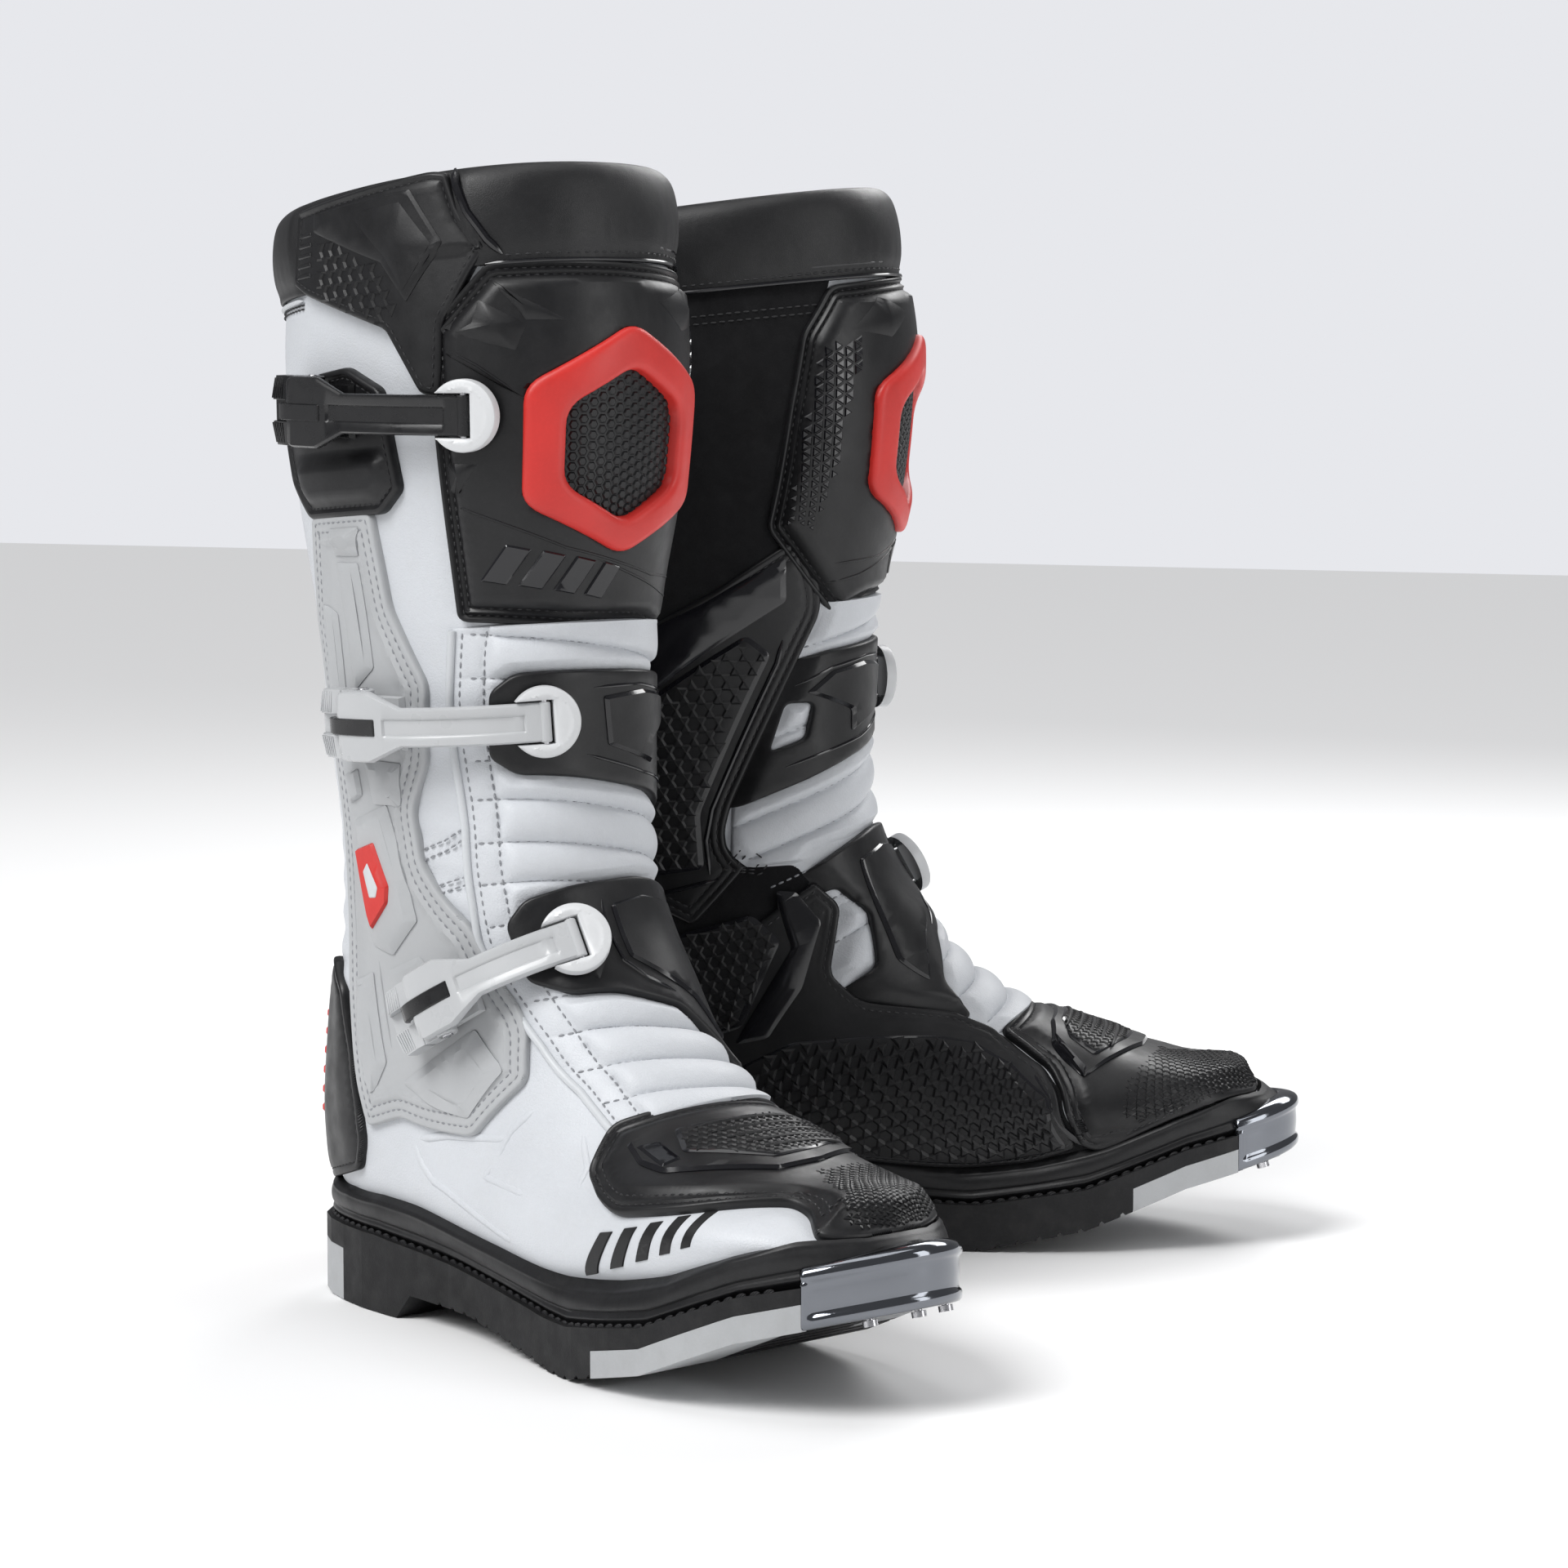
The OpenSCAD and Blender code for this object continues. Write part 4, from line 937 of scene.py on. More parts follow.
def shin_plate():
    recess = dense(scaled(FRAME_OUT, 0.97), 1.5)
    recess_xyz = on_skin(*recess.T)

    def face(sa, p):
        bulge = 5.2 + 1.6 * np.exp(-((sa[:, 0] - 1.7) / 1.1) ** 2 - ((sa[:, 1]) / 48) ** 2)
        d = distance_to(p, [recess_xyz])
        within = inside(sa, recess)
        return bulge - 2.4 * np.where(within, step_up(d, 0.0, 2.0), 0)

    top = bordered(face)
    shape = plate(SHIN_PLATE, top, 4, 2.0, (0.4, 0.9, 1.5, 2.1, 2.6, 3.2, 4, 4.7, 5.2, 5.8, 6.8), low=0.1)[0]
    line = turned(dense(fillet(SHIN_PLATE, 4), 1.5))
    line_xyz = on_skin(*line.T)

    def surface(q):
        p = on_skin(*q.T)
        return top(q, distance_to(p, [line_xyz]), p)

    # Long shards, a crease and three plain slanted bars
    for outline, apex, rise in (([(0.66, 42), (0.80, 34), (0.96, 22), (0.95, 33)], (0.87, 33), 2.6),
                                ([(0.96, 55), (0.80, 45), (0.98, 33), (1.14, 36), (1.08, 44)], (0.97, 41),
                                 4.2),
                                ([(1.12, 55), (1.26, 46), (1.46, 32), (1.36, 40)], (1.30, 43), 2.2),
                                ([(1.84, 56), (1.86, 46), (2.06, 51), (2.08, 55)], (1.93, 51), 1.4),
                                ([(0.72, -30), (0.85, -14), (1.02, -26), (0.95, -42)], (0.88, -28), 2.6)):
        peak(shape, outline, apex, surface, rise)
    for path in ([(2.12, 55), (2.52, 20), (2.80, -20), (2.84, -44)], [(2.62, 10), (2.98, -30), (3.05, -44)],
                 [(1.10, 54), (1.22, 46), (1.42, 35)]):
        cord(shape, path, over(surface, -0.15), radius=0.55, around=6, step=3)
    for k in range(4):
        a = 38 - 11 * k
        s = 2.48 + 0.06 * k
        stamp(shape, [(s, a), (s + 0.05, a - 7.5), (s + 0.37, a - 0.5), (s + 0.32, a + 7)], surface, 0.7,
              bevel=0.5,
              mat=1, radius=0.5)
    studs(shape, [(0.98, -36), (1.05, -52), (1.65, -57), (2.45, -60), (2.50, -50), (1.9, -44), (1.5, -42)],
          surface,
          pitch=4.4, size=0.86, rise=0.5, turn=90, mat=1,
          fade=lambda q: 1.25 - np.abs(q[:, 0] - 1.3) * 0.6)
    for distance in (2.6, 5.2):
        moved = inset(line, distance)
        stitches(shape, np.vstack([moved, moved[:1]]), over(surface, -0.15), mat=2, thick=0.36, pitch=3.0,
                 length=2.3)
    # Honeycomb on the recess floor
    studs(shape, scaled(FRAME_OUT, 0.72), surface, pitch=3.6, size=1.0, rise=0.55, sides=6, margin=0.5,
          turn=30,
          taper=0.7, mat=0)
    make("shin_guard", shape, [PLATE, GLOSS, BLACK_THREAD], "leg", ["shin_plate"])

    def crown(sa, d, p):
        return 7.0 + 2.4 * quarter(d / 3.2)

    ring = plate(FRAME_OUT, crown, 6, 2.2, (0.3, 0.7, 1.2, 1.9, 2.8), low=2.6,
                 holes=[scaled(FRAME_OUT, 0.66)])[0]
    make("shin_frame", ring, [RED], "leg")


def peak(shape, outline, apex, base, rise):
    """A faceted shard that rises from its outline to an apex."""
    line = turned(dense(outline, 3))
    apex = np.array([apex], float)
    n = len(line)
    low, edge = (skin(*line.T, base(line) + lift) for lift in (-0.4, 0.05))
    points = np.vstack([low, edge, skin(*apex.T, base(apex) + rise), low.mean(0)])
    i, j = loop(n)
    tris = np.vstack([np.stack([n + i, n + j, np.full(n, 2 * n)], -1),
                      np.stack([j, i, np.full(n, 2 * n + 1)], -1)])
    a, b, c = points[tris[0]]
    flip = -1 if np.cross(b - a, c - a) @ outwards(*apex.T)[0] < 0 else 1
    shape.add(points, tris[:, ::flip], np.stack([i, j, n + j, n + i], -1)[:, ::flip])


def sewn(shape, line, distances, surface, mat, **kw):
    """Rows of stitches at some distances inside a plate's edge."""
    for distance in distances:
        moved = inset(line, distance)
        moved = moved[distance_to(on_skin(*moved.T), [on_skin(*line.T)]) > distance * 0.9]
        stitches(shape, np.vstack([moved, moved[:1]]), over(surface, -0.1), mat=mat, **kw)


def calf_plate():
    outline = [(-0.06, 109), (-0.09, 84), (-0.13, 56), (-0.10, 51), (0.20, 48), (0.43, 42), (0.60, 47),
               (0.92, 55),
               (1.42, 56), (1.38, 62), (0.93, 72), (0.83, 81), (0.60, 103), (0.50, 110)]

    def top(sa, d, p):
        h = 1.6 + 3.2 * quarter(d / 1.4)
        return (h + groove(d, 3.0, 0.7, 0.8) * (sa[:, 0] < 0.45)
                - 1.4 * np.clip((60 - sa[:, 1]) / 5, 0, 1) * (sa[:, 0] > 0.45))

    shape, surface, line = plate(outline, top, 2.5, 2.2, (0.4, 0.9, 1.5, 2.3, 3.0, 3.7), low=-0.6)
    sewn(shape, line, [3.0], surface, 2, thick=0.34, pitch=3.0, length=2.3)
    stamp(shape, [(0.0, 99), (-0.02, 62), (0.38, 53.5), (0.76, 64.5), (0.46, 72), (0.14, 99)], surface, 0.8,
          bevel=0.9)
    peak(shape, [(0.08, 82), (0.06, 65), (0.38, 56.5), (0.68, 65), (0.44, 70)], (0.36, 66),
         over(surface, 0.8), 2.2)
    studs(shape, [(0.17, 97), (0.48, 73), (0.73, 66.5), (0.92, 71), (0.62, 97)], surface, pitch=5.6,
          size=0.92,
          rise=0.8, margin=1.4, taper=0.55)
    for k in range(5):
        s = 0.13 + 0.075 * k
        stamp(shape, [(s, 107), (s, 100.5), (s + 0.035, 100), (s + 0.035, 107)], surface, 0.5, bevel=0.4,
              radius=0.3)
    make("calf_guard", shape, [PLATE, GLOSS, BLACK_THREAD], "leg", ["calf_plate"])


def tucked(full, edge, reach, low):
    """A soft-edged plate whose inner end dips under the inner side's armour."""
    height = soft_edge(full, edge, reach)

    def top(sa, d, p):
        tuck = np.clip((lookup(sa[:, 0], INNER_FRONT) + 7 - sa[:, 1]) / 8, 0, 1)
        return height(sa, d, p) * (1 - tuck) + low * tuck
    return top


def mid_plate():
    top = tucked(4.6, 3.2, 1.4, 0.9)
    shape, surface, _ = plate(MID_PLATE, top, 3, 2.2, (0.3, 0.7, 1.2), low=-0.2, part="leg",
                                 holes=[MID_WINDOW])
    stamp(shape, [(4.12, 0), (4.06, -22), (4.10, -40), (4.30, -50), (4.62, -30), (4.88, -30), (4.66, -3)],
          surface, 1.5,
          bevel=1.3, side_mat=1, radius=1.2)
    cord(shape, [(4.02, 5), (4.0, -20), (4.06, -40), (4.2, -54)], surface, radius=0.6, mat=1, step=2.5)
    cord(shape, [(4.75, 8), (4.98, -24), (5.06, -44), (5.12, -58)], surface, radius=0.6, mat=1, step=2.5)
    make("mid_guard", shape, [PLATE, GLOSS], "leg", ["mid_plate"])


def instep_plate():
    top = tucked(4.6, 3.2, 1.4, 0.6)
    shape, surface, _ = plate(INSTEP_PLATE, top, 3, 2.2, (0.3, 0.7, 1.2), low=-0.2, part="foot",
                                 holes=[INSTEP_WINDOW])
    stamp(shape, [(6.74, 2), (6.62, -16), (6.72, -34), (7.4, -36), (8.5, -40), (9.1, -36), (8.4, -24),
                  (7.66, 2)],
          surface, 1.2, bevel=1.2, side_mat=1, radius=1.5)
    cord(shape, [(6.62, 6), (6.85, 7), (7.35, 7), (7.72, 6), (8.05, -3), (8.3, -14)], surface, radius=0.7,
         mat=1, step=2.5)
    stamp(shape, [(6.9, 22), (6.86, 12), (7.5, 11), (7.95, 20), (7.7, 26)], surface, 0.5, bevel=0.8, radius=1)
    make("instep_guard", shape, [PLATE, GLOSS], "foot", ["instep_plate"])


# ---------------------------------------------------------------- outer side
BRACE = [(2.16, 82), (2.16, 111), (3.03, 120), (3.78, 117.5), (4.9, 116), (6.5, 114), (7.6, 112),
         (8.50, 110.5),
         (8.62, 97), (9.46, 81), (9.0, 54), (8.30, 47.5), (7.95, 47.5), (6.60, 55), (5.65, 71), (5.05, 74),
         (4.6, 66.5),
         (3.80, 64.5), (3.0, 78)]


def brace():
    """The light rubber brace that runs from the top buckle down to the ankle."""
    def top(sa, d, p):
        h = 1.1 + 1.5 * quarter(d / 1.3)
        h = h + groove(d, 3.2, 0.7, 0.5) + groove(d, 6.4, 0.7, 0.4)
        return h + 0.5 * step_up(d, 7.0, 8.0) - 1.5 * step_up(d, 9.0, 11.5)

    shape, surface, line = plate(BRACE, top, 4, 2.2, (0.4, 0.9, 1.5, 2.4, 3.2, 4.0, 5.6, 6.4, 7.2, 8.4),
                                 low=-0.5)
    sewn(shape, line, [3.2, 6.4], surface, 1, thick=0.4)
    for outline, rise, bevel in (
            ([(2.28, 101), (2.28, 87), (2.52, 89), (2.50, 101)], 2.2, 2.6),
            ([(2.56, 101), (2.58, 90), (3.55, 87), (3.74, 98)], 1.6, 2.4),
            ([(2.9, 111), (3.0, 104), (3.9, 103), (3.95, 111)], 1.5, 1.8),
            ([(4.50, 108), (4.48, 101), (4.76, 100), (4.80, 107)], 1.8, 1.0),
            ([(4.40, 97), (4.55, 77), (4.98, 79), (4.88, 94)], 2.0, 3.0),
            ([(4.98, 106), (4.92, 87), (5.75, 78), (6.30, 75), (6.62, 88), (6.40, 98), (5.75, 104)], 2.0,
             3.4),
            ([(6.75, 108), (6.72, 99), (7.82, 97), (8.10, 105), (7.4, 109)], 1.8, 2.6),
            ([(8.18, 92), (7.98, 62), (8.74, 58), (9.16, 76)], 2.2, 4.0),
            ([(6.78, 91), (6.76, 76), (7.25, 68), (7.66, 75), (7.60, 91)], 1.0, 2.6)):
        stamp(shape, outline, surface, rise, bevel=bevel, radius=1.4)
    for path in ([(3.72, 99), (3.98, 110)], [(3.72, 99), (4.0, 84)], [(6.62, 96), (7.7, 94)],
                 [(5.2, 110), (6.4, 108)]):
        cord(shape, path, over(surface, -0.1), radius=0.6, step=2.5)
    make("brace", shape, [GREY, GREY_THREAD], None, ["side_brace", "ankle_brace"], blend=BEND)
    badge = Shape()
    stamp(badge, [(5.28, 93.5), (5.30, 104), (6.05, 98.5), (6.22, 96.5), (5.98, 87), (5.80, 86)],
          over(surface, 1.8), 1.4, bevel=0.7, radius=1.0)
    stamp(badge, [(5.48, 96), (5.56, 98.5), (5.86, 95.5), (5.88, 92), (5.78, 90.8)],
          over(surface, 3.2), 0.35, bevel=0.3, radius=0.6, mat=1)
    make("brace_badge", badge, [RED, PIPING], "leg")


def outer_foot():
    """Embossed lines and plain slanted bars on the white outer side of the foot."""
    shape = Shape()
    for path in ([(9.05, 99), (9.75, 111), (11.2, 122)], [(9.02, 97), (9.20, 88), (9.72, 74)],
                 [(9.98, 87), (10.10, 96), (10.68, 92)], [(9.98, 86), (9.62, 70), (9.45, 58)],
                 [(10.1, 52), (10.75, 62), (11.05, 74)]):
        cord(shape, path, -0.55, radius=1.6, around=14, step=2.0, squash=0.62)
    for k in range(5):
        s, a = 12.06 + 0.235 * k, 107 - 9.5 * k
        stamp(shape, [(s, a), (s - 0.13, a - 19), (s + 0.0, a - 23), (s + 0.27, a + 15), (s + 0.14, a + 19)],
              -0.15, 0.45,
              bevel=0.25, radius=0.4, mat=1)
    for path in ([(5.50, 72), (5.46, 62), (5.38, 55)], [(5.62, 72), (5.58, 62), (5.5, 55)],
                 [(5.95, 66), (5.93, 54)],
                 [(6.05, 66), (6.03, 54)]):
        stitches(shape, path, 0.1, mat=2)
    make("outer_trim", shape, [WHITE, PLATE, GREY_THREAD], None, blend=BEND)


HEEL = [(6.30, 132), (6.28, 180), (6.30, 228), (6.75, 242), (7.5, 248), (8.1, 248), (8.65, 246), (9.0, 239),
        (8.80, 222), (8.68, 204), (8.66, 180), (8.68, 156), (8.80, 138), (9.0, 121), (8.65, 114), (8.1, 112),
        (7.5, 112), (6.75, 118)]


def heel_counter():
    def top(sa, d, p):
        h = 0.9 + 2.0 * quarter(d / 1.3)
        ribs = 0.35 * np.cos((sa[:, 1] - 180) * 0.42) * step_up(d, 5, 8) * (np.abs(sa[:, 1] - 180) > 46)
        return h + groove(d, 3.2, 0.7, 0.6) + ribs

    shape, surface, line = plate(HEEL, top, 4, 2.2, (0.4, 0.9, 1.5, 2.4, 3.2, 4.0), low=-0.5, part="foot")
    sewn(shape, line, [3.2], surface, 1, thick=0.34)
    for k in range(6):
        s = 6.86 + 0.185 * k
        stamp(shape, [(s, 142), (s - 0.02, 180), (s, 218), (s + 0.09, 218), (s + 0.07, 180), (s + 0.09, 142)],
              surface, 0.9,
              bevel=0.6, radius=0.5, mat=2)
    make("heel_cup", shape, [PLATE, BLACK_THREAD, RED], "foot", ["heel_counter"])


# ---------------------------------------------------------------- inner side
SUEDE_SHEET = [(0.50, -44), (0.52, -120), (0.58, -180), (0.60, -196), (1.9, -202), (2.2, -209), (5.0, -209),
               (6.6, -209),
               (6.6, -180), (7.2, -150), (8.6, -125), (9.3, -122), (10.2, -131), (12, -131), (12.6, -129),
               (13.1, -122),
               (12.5, -90), (12.0, -64), (11.4, -49), (10.5, -38)] + INNER_FRONT[::-1][1:] + \
              [(3.1, -46), (2.45, -62), (1.48, -56), (0.95, -52)]


def suede_sheet():
    """The thin black sheet under the inner side's armour, from the collar to the sole."""
    def top(sa, d, p):
        return 0.35 + 0.45 * quarter(d / 0.8) + 0.2 * noise(p, 15)

    shape, surface, _ = plate(SUEDE_SHEET, top, 3, 3.2, (0.4, 0.8), low=-0.5)
    for path in ([(0.74, -50), (0.76, -120), (0.78, -180), (0.78, -196)],
                 [(0.80, -52), (0.82, -120), (0.84, -180), (0.84, -196)],
                 [(1.0, -197), (2.0, -200), (2.3, -205), (5.0, -205), (6.2, -205)]):
        stitches(shape, path, surface, mat=1, thick=0.36)
    stamp(shape, [(1.35, -88), (1.15, -102), (1.75, -112), (2.1, -98)], surface, 0.5, bevel=1.5, radius=4)
    make("inner_suede", shape, [SUEDE, BLACK_THREAD], None, blend=BEND)


# Extra space, in stations, between the two inner plates where the ankle bends
ANKLE_ROOM = 0.22
BURN = [(2.48, -51), (3.02, -80), (3.30, -102), (3.45, -119), (4.6, -119.5), (6.15, -118), (7.3, -115),
        (7.3, -80),
        (6.9, -70), (6.35, -68), (6.22, -74), (5.93, -79), (5.70, -79.5), (5.43, -77), (3.40, -44),
        (3.15, -44)]


def burn_guard():
    def top(sa, d, p):
        h = 1.0 + 1.6 * quarter(d / 1.3)
        return h + groove(d, 3.0, 0.7, 0.6) + groove(d, 5.8, 0.7, 0.5)

    shape, surface, line = plate(BURN, top, 4, 2.4, (0.4, 0.9, 1.5, 2.3, 3.0, 3.8, 5.0, 5.8, 6.6), low=0.2,
                                 part="leg", room=ANKLE_ROOM)
    sewn(shape, line, [3.0, 5.8], surface, 2, thick=0.36)
    stamp(shape, [(2.74, -58), (3.13, -84), (3.42, -110), (3.96, -102), (3.46, -72), (3.2, -57)], surface,
          1.0, bevel=1.8,
          mat=1, radius=2)
    field = [(3.52, -70), (3.78, -62), (5.42, -88), (6.1, -87), (5.98, -112), (4.2, -112), (4.02, -103)]
    stamp(shape, field, surface, 0.9, bevel=1.6, side_mat=1, radius=3)
    studs(shape, field, over(surface, 0.9), pitch=6.2, size=0.86, rise=0.9, margin=2.6, taper=0.5,
          fade=lambda q: 0.55 + np.clip((q[:, 0] - 3.6) / 1.4, 0, 0.6) + np.clip((-q[:, 1] - 70) / 80, 0, 0.4))
    cord(shape, [(3.64, -58), (3.9, -60), (5.40, -83.5), (5.75, -86), (6.2, -85)], surface, radius=1.1, mat=1,
         step=2)
    cord(shape, [(6.25, -112), (6.28, -92), (6.3, -82)], surface, radius=0.9, mat=1, step=2)
    make("burn_shield", shape, [PLATE, GLOSS, BLACK_THREAD], "leg", ["burn_guard"])


INNER_FOOT = [(6.40, -56)] + INNER_FRONT[6:] + [(10.5, -40), (11.42, -50), (12.0, -66), (12.5, -92),
                                                (12.9, -118),
              (12.6, -128), (12, -131), (11, -131), (10.2, -131), (9.5, -131), (9.1, -126), (8.7, -114.5),
                                                (8.1, -112.5),
              (7.5, -112.5), (6.75, -118), (6.2, -110), (6.2, -80)]


def inner_foot():
    def top(sa, d, p):
        h = 0.9 + 1.5 * quarter(d / 1.3)
        front = np.clip((-60 - sa[:, 1]) / -25 + 0.2, 0, 1)
        return h + (groove(d, 3.0, 0.7, 0.6) + groove(d, 5.8, 0.7, 0.5)) * front \
            + 2.4 * np.clip((sa[:, 1] + 75) / 22, 0, 1) \
            * np.exp(-((sa[:, 0] - 7.8) / 1.6) ** 2)

    shape, surface, line = plate(INNER_FOOT, top, 4, 2.4, (0.4, 0.9, 1.5, 2.3, 3.0, 3.8, 5.0, 5.8, 6.6),
                                 low=0.2, part="foot", room=ANKLE_ROOM)
    sewn(shape, line[line[:, 1] > -1000], [3.0], surface, 2, thick=0.36)
    upper = [(6.86, -98), (6.95, -72), (7.45, -66), (8.42, -84), (8.25, -106), (7.1, -107)]
    stamp(shape, upper, surface, 0.9, bevel=1.8, side_mat=1, radius=3)
    studs(shape, upper, over(surface, 0.9), pitch=5.4, size=0.88, rise=0.8, margin=2.4, taper=0.5)
    stamp(shape, [(6.72, -64), (6.85, -58), (7.42, -54), (8.25, -66), (8.75, -80), (8.62, -88), (7.62, -64)],
          surface, 1.1,
          bevel=1.5, mat=1, radius=2)
    field = [(8.98, -90), (8.98, -76), (9.42, -64), (9.98, -53), (10.35, -49), (11.05, -54), (11.95, -70),
             (12.78, -116),
             (12.1, -126), (11, -127), (10, -127), (9.35, -122)]
    stamp(shape, field, surface, 0.5, bevel=1.2, side_mat=1, radius=3)
    studs(shape, field, over(surface, 0.5), pitch=6.0, size=0.92, rise=1.1, margin=2.0, taper=0.45)
    make("inner_foot_guard", shape, [PLATE, GLOSS, BLACK_THREAD], "foot")


# ---------------------------------------------------------------- toe and sole
TOE = [(10.25, 43), (10.93, 64), (11.5, 71), (11.93, 73), (12.7, 56), (13.35, 38), (13.8, 27), (14.3, 30),
       (14.7, 42),
       (15.0, 55), (15.35, 55), (15.66, 40), (15.74, 0), (15.66, -40), (15.3, -56), (14.8, -68), (14.25, -84),
       (13.7, -106),
       (13.2, -124), (12.9, -116), (12.55, -92), (12.05, -66), (11.5, -50), (10.9, -42), (10.4, -37),
       (10.28, -2)]
TOE_FRAME = [(10.70, 34), (10.84, 46), (11.35, 49), (11.78, 46), (12.72, 15), (12.66, -8), (12.25, -40),
             (12.12, -55),
             (11.6, -45), (11.2, -37), (10.86, -19)]
TOE_PAD = [(10.92, 30), (11.55, 35), (12.38, 10), (12.30, -10), (12.0, -40), (11.35, -30), (10.98, -14)]


def toe_guard():
    def top(sa, d, p):
        h = 1.4 + 1.9 * quarter(d / 1.4)
        back = np.clip((13.9 - sa[:, 0]) / 0.5, 0, 1)
        h = h + (groove(d, 2.8, 0.7, 0.8) + groove(d, 5.4, 0.7, 0.7)) * back
        dome = 4.6 * np.exp(-((sa[:, 0] - 14.75) / 0.75) ** 2) * np.clip(1 - (sa[:, 1] / 80) ** 2, 0, 1)
        return h + 1.1 * step_up(d, 6.0, 9.0) + dome * step_up(d, 0.5, 8.0)

    shape, surface, line = plate(TOE, top, 4, 2.0, (0.4, 0.9, 1.5, 2.2, 2.8, 3.5, 4.6, 5.4, 6.2, 7.4),
                                 low=-0.5)
    sewn(shape, line[line[:, 0] < 14.6], [2.8, 5.4], surface, 2, thick=0.36, pitch=3.0, length=2.3)
    stamp(shape, TOE_FRAME, surface, 1.5, bevel=1.6, mat=0, side_mat=1, radius=2)
    raised = over(surface, 1.5)
    stamp(shape, TOE_PAD, raised, 0.7, bevel=1.6, side_mat=1, radius=2)
    studs(shape, TOE_PAD, over(surface, 2.2), pitch=3.2, size=0.85, rise=0.5, margin=1.8, taper=0.55)
    for k in range(5):
        s = 11.05 + 0.24 * k
        cord(shape, [(s, 24 - 3 * k), (s + 0.02, 10 - 2 * k), (s + 0.05, -8 - 2 * k),
                     (s + 0.12, -22 - 2 * k)],
             over(surface, 2.3), radius=0.8, step=2)
    stamp(shape, [(11.30, -37), (11.12, -31), (12.02, -48), (12.12, -55)], over(surface, 0.9), 1.2, bevel=0.8,
          mat=1)
    stamp(shape, [(11.0, 45), (11.1, 37), (11.7, 37), (11.72, 45)], over(surface, 0.9), 1.3, bevel=1.2, mat=1)
    # Glossy band along the inner edge, and the fine relief of the tip
    cord(shape, [(11.25, -52), (11.95, -70), (12.5, -96), (12.95, -116)], 1.6, radius=1.5, mat=1, squash=0.6,
         step=2)
    studs(shape, [(12.95, 2), (12.8, -30), (12.75, -56), (13.15, -88), (13.8, -88), (14.6, -62), (15.4, -40),
                  (15.6, 0),
                  (15.45, 32), (15.1, 36), (14.4, 16)], surface, pitch=2.9, size=0.86, rise=0.42, margin=1.0,
          taper=0.5,
          fade=lambda q: 0.45 + np.clip((q[:, 0] - 12.8) / 0.8, 0, 0.55))
    make("toe_cap", shape, [PLATE, GLOSS, BLACK_THREAD], "foot", ["toe_guard"])


RAND_EDGE = [(8.55, 158), (8.62, 152), (8.8, 143), (9.1, 134), (9.5, 130), (10.2, 130), (11, 130), (12, 132),
             (12.6, 128),
             (13.2, 119), (13.8, 104), (14.3, 85), (14.8, 69), (15.3, 59), (15.7, 44)]
FOOTPRINT = np.array([[0, 0], [14, -28], [52, -40], [105, -41], [160, -49], [208, -58], [250, -55],
                      [284, -41],
                      [304, -20], [311, 2], [301, 22], [272, 37], [235, 45], [190, 45], [140, 38], [95, 35],
                      [50, 36],
                      [12, 27]], float)
GROUND = [(-20, 0), (185, 0), (230, 9), (268, 25), (330, 42)]
WELT_RISE = [(-20, 28), (60, 28), (110, 24), (170, 18), (230, 16), (268, 15), (316, 13.5), (330, 13.5)]


def welt(x):
    return lookup(x, GROUND) + lookup(x, WELT_RISE)


def footprint(inset_by, count=240):
    """The sole's outline seen from above, moved inwards."""
    n = len(FOOTPRINT)
    t = np.linspace(0, n, count, endpoint=False)
    i = t.astype(int)
    p = curved(*(FOOTPRINT[(i + k) % n] for k in (-1, 0, 1, 2)), (t % 1)[:, None])
    d = unit(np.roll(p, -1, 0) - np.roll(p, 1, 0))
    return p + inset_by * np.stack([-d[:, 1], d[:, 0]], -1)


